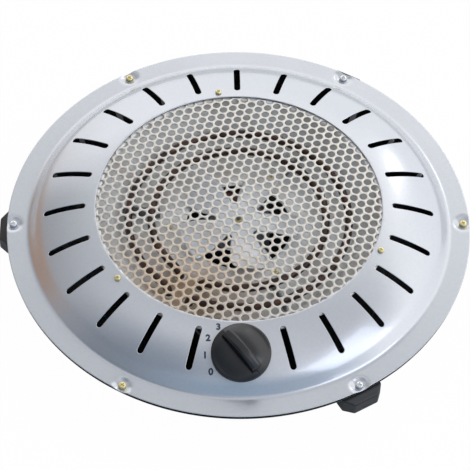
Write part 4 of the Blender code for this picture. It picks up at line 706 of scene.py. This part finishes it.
def driveScrew(name, node, headR, length, place, degrees, bright=False, bake=False):
    finish, slot = (brightZinc, "bright_zinc") if bright else (yellowZinc, "yellow_zinc")
    makePiece(name, node, screwMesh(headR, length), finish, place=place @ turnZ(degrees), smooth=40, bake=bake)


print("Driving the screws")
for i, degrees in enumerate(screw["rimTurns"]):
    overFoot = i % 2 == 1
    seat = polar(cover["dimpleR"], tau * i / cover["dimples"], cover["flangeZ"] - cover["dimpleDepth"])
    driveScrew(f"rim_screw_{i + 1}", f"flange_screw_{i + 1}", screw["rimHeadR"],
               screw["footLength"] if overFoot else screw["rimLength"], Matrix.Translation(seat), degrees, overFoot)
for i, angle in enumerate(screw["domeAngles"]):
    driveScrew(f"dome_screw_{i + 1}", f"grille_screw_{i + 1}", screw["domeHeadR"], screw["domeLength"],
               crownFrame(screw["domeR"], radians(angle)), 30 + 25 * i, bake=True)
for i, angle in enumerate(screw["floorAngles"]):
    driveScrew(f"floor_screw_{i + 1}", f"bridge_screw_{i + 1}", screw["floorHeadR"], screw["floorLength"],
               Matrix.Translation(polar(screw["floorR"], radians(angle), floorZ)), 15 + 40 * i)

foot = {
    "innerR": 0.1735, "edgeR": 0.1875, "reach": 0.0058, "width": 0.035, "faceWidth": 0.021, "height": 0.0135,
    "ramp": 0.0022, "top": 0.0432, "round": 0.0012, "angles": (60, 180, 300),
}
print("Moulding the feet")
outerR, half, faceHalf = foot["edgeR"] + foot["reach"], foot["width"] / 2, foot["faceWidth"] / 2
chamferR = outerR - (half - faceHalf)
side = [(foot["innerR"], half), (chamferR, half), (foot["edgeR"], half - (foot["edgeR"] - chamferR)),
        (outerR, faceHalf)]
plan = [(x, -y) for x, y in side] + side[::-1]
tops = [foot["top"] - drop for drop in (0, 0, 0, foot["ramp"], foot["ramp"], 0, 0, 0)]
points = [(x, y, foot["top"] - foot["height"]) for x, y in plan] + [(x, y, z) for (x, y), z in zip(plan, tops)]
faces = [tuple(reversed(range(8)))] + gridFaces(1, 8) + [(8, 9, 10, 13, 14, 15), (10, 11, 12, 13)]
for i, angle in enumerate(foot["angles"]):
    footPiece = makePiece(f"foot_block_{i + 1}", f"foot_{i + 1}", (points, faces), footNylon,
                          place=turnZ(angle), smooth=30)
    breakEdges(footPiece, foot["round"], 14, 4)

knob = {
    "placeR": 0.141, "pointer": 219,  # degrees from the direction down the crown
    "topR": 0.0219, "rimH": 0.0042,
    "rise": (0.0062, 4), "leftRise": (0.0018, 6),  # the disc's rise to the bar and its fullness, on both sides
    "barTop": 0.0172, "barArch": 0.0070, "barHalf": 0.0036, "barRound": 0.0009, "barFullness": 5,
    "barFlare": 0.0007, "barBack": 0.0012,  # widths of the bar's left and right flanks
    "barEnd": 0.0184, "barEndRun": 0.0009,
    # below the disc's rim: skirt, underside and inner wall, as radius and height
    "skirt": ((0.0225, 0.0039), (0.0230, 0.0033), (0.0232, 0.0030), (0.0232, 0.0008), (0.0212, 0.0008),
              (0.0212, 0.0030), (0.004, 0.0030)),
    # rows of the mesh up to a distance from the bar's middle, closest on its flanks
    "rows": ((0.0028, 7), (0.0044, 10), (0.0080, 12), (0.021024, 24)), "rimRows": (0.975, 0.988, 0.996),
    "columns": 112,
}
print("Moulding the knob")


def knobZ(u, v):
    # Disc that falls from the bar to the rim on both sides, with an arched bar along u
    r = hypot(u, v)
    rise, fullness = knob["leftRise" if v > 0 else "rise"]
    disc = knob["rimH"] + rise * (1 - (v / knob["topR"])**2) * (1 - min(1, r / knob["topR"])**fullness)
    top = knob["barTop"] - knob["barArch"] * (u / knob["topR"])**2
    side = (abs(v) - knob["barHalf"]) / knob["barFlare" if v > 0 else "barBack"]
    if side < 0:
        z = top - knob["barRound"] * (abs(v) / knob["barHalf"])**knob["barFullness"]
    elif side < 1:
        z = disc + (top - knob["barRound"] - disc) * (1 - side)
    else:
        z = disc
    return z + (disc - z) * eased((r - knob["barEnd"]) / knob["barEndRun"]) if z > disc else z


distances, reached = [knob["topR"] * share for share in knob["rimRows"]], 0
for upTo, count in knob["rows"]:
    distances += spread(reached, upTo, count)
    reached = upTo
rows = sorted({round(side * distance / knob["topR"], 5) for side in (-1, 1) for distance in distances})
columns = knob["columns"]
points = []
for sine in rows:
    chord = knob["topR"] * cos(asin(sine))
    for i in range(columns + 1):
        u, v = chord * sin(pi / 2 * (2 * i / columns - 1)), knob["topR"] * sine
        points.append((u, v, knobZ(u, v)))
faces = gridFaces(len(rows) - 1, columns, closed=False)
lastRow, width = len(rows) - 1, columns + 1
last = list(range(width)) + [j * width + columns for j in range(1, lastRow)]
last += [lastRow * width + i for i in reversed(range(width))] + [j * width for j in reversed(range(1, lastRow))]
for r, z in knob["skirt"]:
    loop = list(range(len(points), len(points) + len(last)))
    for i in last:
        x, y, _ = points[i]
        away = hypot(x, y)
        points.append((x * r / away, y * r / away, z))
    faces += [(last[i], last[(i + 1) % len(last)], loop[(i + 1) % len(last)], loop[i]) for i in range(len(last))]
    last = loop
faces.append(tuple(last))
knobPlace = crownFrame(knob["placeR"], -pi / 2)
makePiece("dial_knob", "knob", (points, faces), knobAbs, "dial",
          place=knobPlace @ turnZ(knob["pointer"]), smooth=55, bake=True)

numerals = {
    "height": 0.0050, "fontShare": 0.69,  # of the font's size that a digit fills
    "weight": 0.00032, "ink": 0.00006,
    "places": {"0": (210.6, 0.0269), "1": (182, 0.0276), "2": (152.9, 0.0283), "3": (127.5, 0.0283)},
}
print("Printing the dial's numbers")
across, step = Vector((1, 0, 0)), 1e-4
upSlope = (knobPlace.to_3x3() @ Vector((0, 0, 1))).normalized().cross(across)
for digit, (angle, r) in numerals["places"].items():
    angle = radians(angle)
    p = knobPlace.translation + (across * cos(angle) + upSlope * sin(angle)) * r
    p.z = coverZ(p.x, p.y)
    slopeX, slopeY = (coverZ(p.x + step, p.y) - p.z) / step, (coverZ(p.x, p.y + step) - p.z) / step
    normal = Vector((-slopeX, -slopeY, 1)).normalized()
    baseline = (across - normal * across.dot(normal)).normalized()
    turn = Matrix((baseline, normal.cross(baseline), normal)).transposed().to_4x4()
    curve = bpy.data.curves.new("number" + digit, "FONT")
    curve.body, curve.size, curve.offset = digit, numerals["height"] / numerals["fontShare"], numerals["weight"]
    curve.extrude, curve.resolution_u = numerals["ink"] / 2, 6
    curve.align_x, curve.align_y = "CENTER", "CENTER"
    text = addObject("number" + digit, curve)
    mesh = bpy.data.meshes.new_from_object(text.evaluated_get(bpy.context.evaluated_depsgraph_get()))
    bpy.data.objects.remove(text)
    addPiece("dial_number_" + digit, mesh, slateInk,
             place=Matrix.Translation(p + normal * numerals["ink"] / 2) @ turn)

pan = {
    "sheet": 0.0008, "depth": 0.0443, "topR": 0.170, "draft": radians(25), "cornerR": 0.016, "flangeR": 0.1862,
    "vents": 24, "ventWidth": 0.005, "ventLowZ": 0.014, "ventHighZ": 0.036, "ventMargin": 0.004,
    "floorVents": 12, "floorVentIn": 0.062, "floorVentOut": 0.094, "floorFieldIn": 0.056, "floorFieldOut": 0.100,
    "pilotR": 0.002, "columns": 240, "rim": 0.0003,
}
print("Pressing the pan")


def panWallR(z):
    return pan["topR"] - (pan["depth"] - z) * tan(pan["draft"])


cornerTopZ = pan["cornerR"] * (1 - sin(pan["draft"]))
panCornerR = panWallR(cornerTopZ) - pan["cornerR"] * cos(pan["draft"])
wallStart = panCornerR + pan["cornerR"] * (pi / 2 - pan["draft"])
lipZ = pan["depth"] - pan["sheet"]


def wallAlong(z):
    # Distance along the pan's section from the axis to a height on its wall
    return wallStart + (z - cornerTopZ) / cos(pan["draft"])


wallEnd = wallAlong(lipZ)


def panPoint(along, angle):
    # A place on the pan's outer face, by the distance along its section
    if along <= panCornerR:
        return polar(along, angle, 0)
    if along <= wallStart:
        bend = (along - panCornerR) / pan["cornerR"]
        return polar(panCornerR + pan["cornerR"] * sin(bend), angle, pan["cornerR"] * (1 - cos(bend)))
    if along <= wallEnd:
        z = cornerTopZ + (along - wallStart) * cos(pan["draft"])
        return polar(panWallR(z), angle, z)
    return polar(panWallR(lipZ) + along - wallEnd, angle, lipZ)


columns, floorHalf, ventHalf = pan["columns"], pi / pan["floorVents"], pi / pan["vents"]
ventIn, ventOut = wallAlong(pan["ventLowZ"]), wallAlong(pan["ventHighZ"])
fieldIn, fieldOut = ventIn - pan["ventMargin"], ventOut + pan["ventMargin"]
# The flat pattern is wider than the drawn-up wall, so a vent is drawn wider there
stretch = (ventIn + ventOut) / (panWallR(pan["ventLowZ"]) + panWallR(pan["ventHighZ"]))
floorSlot = (pan["floorVentIn"], pan["floorVentOut"], pan["ventWidth"])
wallSlot = (ventIn, ventOut, pan["ventWidth"] * stretch)
shapes = [ringGrid(spread(pan["pilotR"], pan["floorFieldIn"], 6), columns, -floorHalf)]
shapes += [slottedSector(2 * floorHalf * i, floorHalf, pan["floorFieldIn"], pan["floorFieldOut"], floorSlot,
                         columns // pan["floorVents"], 14) for i in range(pan["floorVents"])]
shapes.append(ringGrid(spread(pan["floorFieldOut"], panCornerR, 4) + spread(panCornerR, wallStart, 8)[1:]
                       + spread(wallStart, fieldIn, 2)[1:], columns, -floorHalf))
shapes += [slottedSector(2 * ventHalf * (i + 0.5), ventHalf, fieldIn, fieldOut, wallSlot, columns // pan["vents"], 12)
           for i in range(pan["vents"])]
shapes.append(ringGrid(spread(fieldOut, wallEnd, 2)
                       + spread(wallEnd, wallEnd + pan["flangeR"] - panWallR(lipZ), 6)[1:], columns))
flatPoints, faces = joined(shapes)
panPiece = makePiece("black_pan", "bottom_pan", ([panPoint(p.length, atan2(p.y, p.x)) for p in flatPoints], faces),
                     blackEnamel, weld=True, up=False, smooth=50)
thicken(panPiece, pan["sheet"])
breakEdges(panPiece, pan["rim"], 55)

gland = {
    "z": 0.026, "boreR": 0.004, "flangeR": 0.0085, "flangeH": 0.0024, "nozzleR": 0.006, "nozzleLength": 0.014,
    "neckR": 0.0062, "gap": 0.0003, "round": 0.0005, "ribs": 4, "ribLow": 0.0036, "ribHigh": 0.0126, "ribDepth": 0.0007,
    "ribEase": 0.0003, "ribRound": 0.0002, "taper": 0.0006,
    "groove": (0.45, 0.5),  # shares of a rib's step between which its groove runs out
    "seat": cos(pi / 48),  # share of the wall's radius at which the flat flange lies on the round wall
}
print("Moulding the gland")
boreR, flangeR, flangeH, gap = gland["boreR"], gland["flangeR"], gland["flangeH"], gland["gap"]
level = Matrix.Translation(polar(panWallR(gland["z"]) * gland["seat"], pi / 2, gland["z"])) @ turnZ(90)
level = level @ Matrix.Rotation(pi / 2, 4, "Y")
squareTo = level @ Matrix.Rotation(pan["draft"], 4, "Y")
inside = -pan["sheet"] - gap
outline = rounded([(boreR, inside - flangeH), (flangeR, inside - flangeH), (flangeR, inside), (gland["neckR"], inside),
                   (gland["neckR"], gap), (flangeR, gap), (flangeR, gap + flangeH), (boreR, gap + flangeH)],
                  gland["round"])
nozzleR, grooveR = gland["nozzleR"], gland["nozzleR"] - gland["ribDepth"]
ribbed = [(boreR, 0), (nozzleR, 0)]
ribStep = (gland["ribHigh"] - gland["ribLow"]) / gland["ribs"]
for i in range(gland["ribs"]):
    low = gland["ribLow"] + ribStep * i
    grooveEnd, ribStart = (low + ribStep * share for share in gland["groove"])
    ribbed += [(nozzleR, low), (grooveR, low + gland["ribEase"]), (grooveR, grooveEnd), (nozzleR, ribStart)]
ribbed += [(nozzleR - gland["taper"], gland["nozzleLength"]), (boreR, gland["nozzleLength"])]
parts = [(squareTo, turnedMesh(outline, 48)), (level, turnedMesh(rounded(ribbed, gland["ribRound"], 2), 48))]
makePiece("grommet", "cord_gland", joined([([place @ p for p in points], faces) for place, (points, faces) in parts]),
          glandRubber)

print("Setting the stage")
stage = {
    "floorZ": 0.0, "floorHalf": 6.0, "floorColours": ("#E9E9E9", "#E4E4E3"), "whiteShare": 0.985,
    # shadeColour is a painted shadow: the floor's dark grey inside shadeR round (0, shadeY), under the object
    "shadeColour": "#58585A", "shadeY": 0.030, "shadeR": 0.178, "shadeEdge": 0.012,
}


def makeFloorFinish():
    # Matt white studio sweep, lifted to white where the camera sees it, with a little of the shadow kept.
    # Under the object it is painted a dark grey, a painted shadow, so that no light shows through the slots.
    finish = bpy.data.materials.new("MattStudioSweep")
    tree = clearedTree(finish)
    place = addNode(tree, "TexCoord").outputs["Object"]
    fromMiddle = addNode(tree, "VectorMath", {"operation": "SUBTRACT", 1: (0, stage["shadeY"], 0)}, {0: place})
    reach = addNode(tree, "VectorMath", {"operation": "LENGTH"}, {0: fromMiddle.outputs[0]})
    beside = addNode(tree, "MapRange", {
        "interpolation_type": "SMOOTHSTEP", "From Min": stage["shadeR"] - stage["shadeEdge"],
        "From Max": stage["shadeR"]}, {"Value": reach.outputs["Value"]}).outputs[0]
    seen = addNode(tree, "Math", {"operation": "MULTIPLY"},
                   {0: addNode(tree, "LightPath").outputs["Is Camera Ray"], 1: beside})
    share = addNode(tree, "Math", {"operation": "MULTIPLY", 1: stage["whiteShare"]}, {0: seen.outputs[0]})
    noise = addNode(tree, "TexNoise", {"Scale": 3.0}, {"Vector": place})
    pale, dull = stage["floorColours"]
    paper = addNode(tree, "Mix", {"data_type": "RGBA", 6: pale, 7: dull}, {0: noise.outputs["Fac"]})
    # the paper, with the painted shadow's dark grey under the object
    tone = addNode(tree, "Mix", {"data_type": "RGBA", 6: stage["shadeColour"]}, {0: beside, 7: paper.outputs[2]})
    matt = addNode(tree, "BsdfDiffuse", {}, {"Color": tone.outputs[2]})
    white = addNode(tree, "Emission", {"Color": "#FFFFFF", "Strength": 1.0})
    mixed = addNode(tree, "MixShader", {}, {0: share.outputs[0], 1: matt.outputs[0], 2: white.outputs[0]})
    addNode(tree, "OutputMaterial", {}, {"Surface": mixed.outputs[0]})
    return finish


floorMesh = bpy.data.meshes.new("floor")
floorMesh.from_pydata([(x * stage["floorHalf"], y * stage["floorHalf"], stage["floorZ"])
                       for x, y in ((-1, -1), (1, -1), (1, 1), (-1, 1))], [], [(0, 1, 2, 3)])
floorMesh.materials.append(makeFloorFinish())
floor = addObject("floor", floorMesh)

# A room's soft light: pale behind and to the right, dim overhead, to the left and in front
air = {
    "strength": 1.9, "dimSide": (-0.5, -0.3, 0), "flatten": (0.8, 1, 0),
    # by half the distance of a direction from the dim side
    "stops": [(0.10, "#5E6A78"), (0.27, "#BEBFC2"), (0.40, "#A6A7AA"), (0.485, "#A0A2A5"), (0.525, "#E6E7E8"),
              (0.56, "#F2F2F3"), (0.68, "#DADCDF"), (0.75, "#D2D4D7")],
    "lowTilt": 0.6,  # how much height counts in "lowLeft", beside the way to the left
    # colour, strongest share, and where each edge starts and is full along an axis
    "patches": [("#74889C", 1.0, [("Y", -0.25, -0.85)]), ("#404246", 0.5, [("X", -0.20, -0.80)]),
                ("#947050", 1.0, [("lowLeft", -0.40, -0.75), ("Y", -0.10, 0.35)])],  # a brown wall
}
world = bpy.data.worlds.new("StudioAir")
bpy.context.scene.world = world
tree = clearedTree(world)
direction = addNode(tree, "TexCoord").outputs["Generated"]
axes = dict(addNode(tree, "SeparateXYZ", {}, {0: direction}).outputs.items())
axes["lowLeft"] = addNode(tree, "Math", {"operation": "MULTIPLY_ADD", 1: air["lowTilt"]},
                          {0: axes["Z"], 2: axes["X"]}).outputs[0]
fromDimSide = addNode(tree, "VectorMath", {"operation": "SUBTRACT", 1: air["dimSide"]}, {0: direction})
flat = addNode(tree, "VectorMath", {"operation": "MULTIPLY", 1: air["flatten"]}, {0: fromDimSide.outputs[0]})
away = addNode(tree, "VectorMath", {"operation": "LENGTH"}, {0: flat.outputs[0]})
halved = addNode(tree, "Math", {"operation": "MULTIPLY", 1: 0.5}, {0: away.outputs["Value"]})
airColour = addNode(tree, "ValToRGB", {"stops": air["stops"]}, {"Fac": halved.outputs[0]}).outputs["Color"]
for colour, most, edges in air["patches"]:
    share = None
    for axis, start, full in edges:
        edge = addNode(tree, "MapRange", {"interpolation_type": "SMOOTHSTEP", "From Min": start, "From Max": full,
                                          "To Max": most}, {"Value": axes[axis]}).outputs[0]
        share = edge if share is None else addNode(
            tree, "Math", {"operation": "MULTIPLY"}, {0: share, 1: edge}).outputs[0]
    airColour = addNode(tree, "Mix", {"data_type": "RGBA", 7: colour}, {0: share, 6: airColour}).outputs[2]
background = addNode(tree, "Background", {"Strength": air["strength"]}, {"Color": airColour})
addNode(tree, "OutputWorld", {}, {"Surface": background.outputs["Background"]})

# name: place, aim, width, height, watts, colour
lamps = {
    "windowSoftbox": ((1.43, -0.78, 1.66), (0, 0, 0.05), 1.25, 1.25, 9.5, "#E8EFFF"),
    "stripSoftbox": ((1.05, 1.65, 1.25), (0, 0, 0.05), 0.16, 0.55, 1.1, "#FFFFFF"),
}
for name, (place, aim, width, height, watts, colour) in lamps.items():
    light = bpy.data.lights.new(name, "AREA")
    light.shape, light.size, light.size_y, light.energy = "RECTANGLE", width, height, watts
    light.color = toLinear(colour)[:3]
    lamp = addObject(name, light)
    lamp.location = place
    lamp.rotation_euler = (Vector(aim) - Vector(place)).to_track_quat("-Z", "Y").to_euler()

print("Placing the camera")
view = {
    "elevation": radians(51.8), "azimuth": radians(-1.65), "roll": radians(1.256), "distance": 1.857,
    "focalPixels": 2296.3, "framePixels": 470, "sensorMm": 36,
    "centre": (0, 0, 0.048), "centreSeenAt": (238.6, 223.1),
}
elevation, azimuth, roll = view["elevation"], view["azimuth"], view["roll"]
towards = Vector((sin(azimuth) * cos(elevation), -cos(azimuth) * cos(elevation),
                  sin(elevation)))
levelRight = Vector((0, 0, 1)).cross(towards).normalized()
levelUp = towards.cross(levelRight)
right = levelRight * cos(roll) + levelUp * sin(roll)
up = levelUp * cos(roll) - levelRight * sin(roll)
perPixel = view["distance"] / view["focalPixels"]
offX, offY = view["centreSeenAt"][0] - view["framePixels"] / 2, view["framePixels"] / 2 - view["centreSeenAt"][1]
eye = Vector(view["centre"]) + towards * view["distance"]
aim = Vector(view["centre"]) - right * offX * perPixel - up * offY * perPixel
back = (eye - aim).normalized()
right = (right - back * right.dot(back)).normalized()
camera = addObject("photoCamera", bpy.data.cameras.new("photoCamera"))
camera.data.sensor_width = view["sensorMm"]
camera.data.lens = view["sensorMm"] * view["focalPixels"] / view["framePixels"]
camera.data.clip_start, camera.data.clip_end = 0.05, 50
camera.matrix_world = Matrix.Translation(eye) @ Matrix((right, back.cross(right), back)).transposed().to_4x4()
bpy.context.scene.camera = camera
bpy.context.scene.view_settings.view_transform = "Standard"

bpy.context.view_layer.update()
print("Finished")
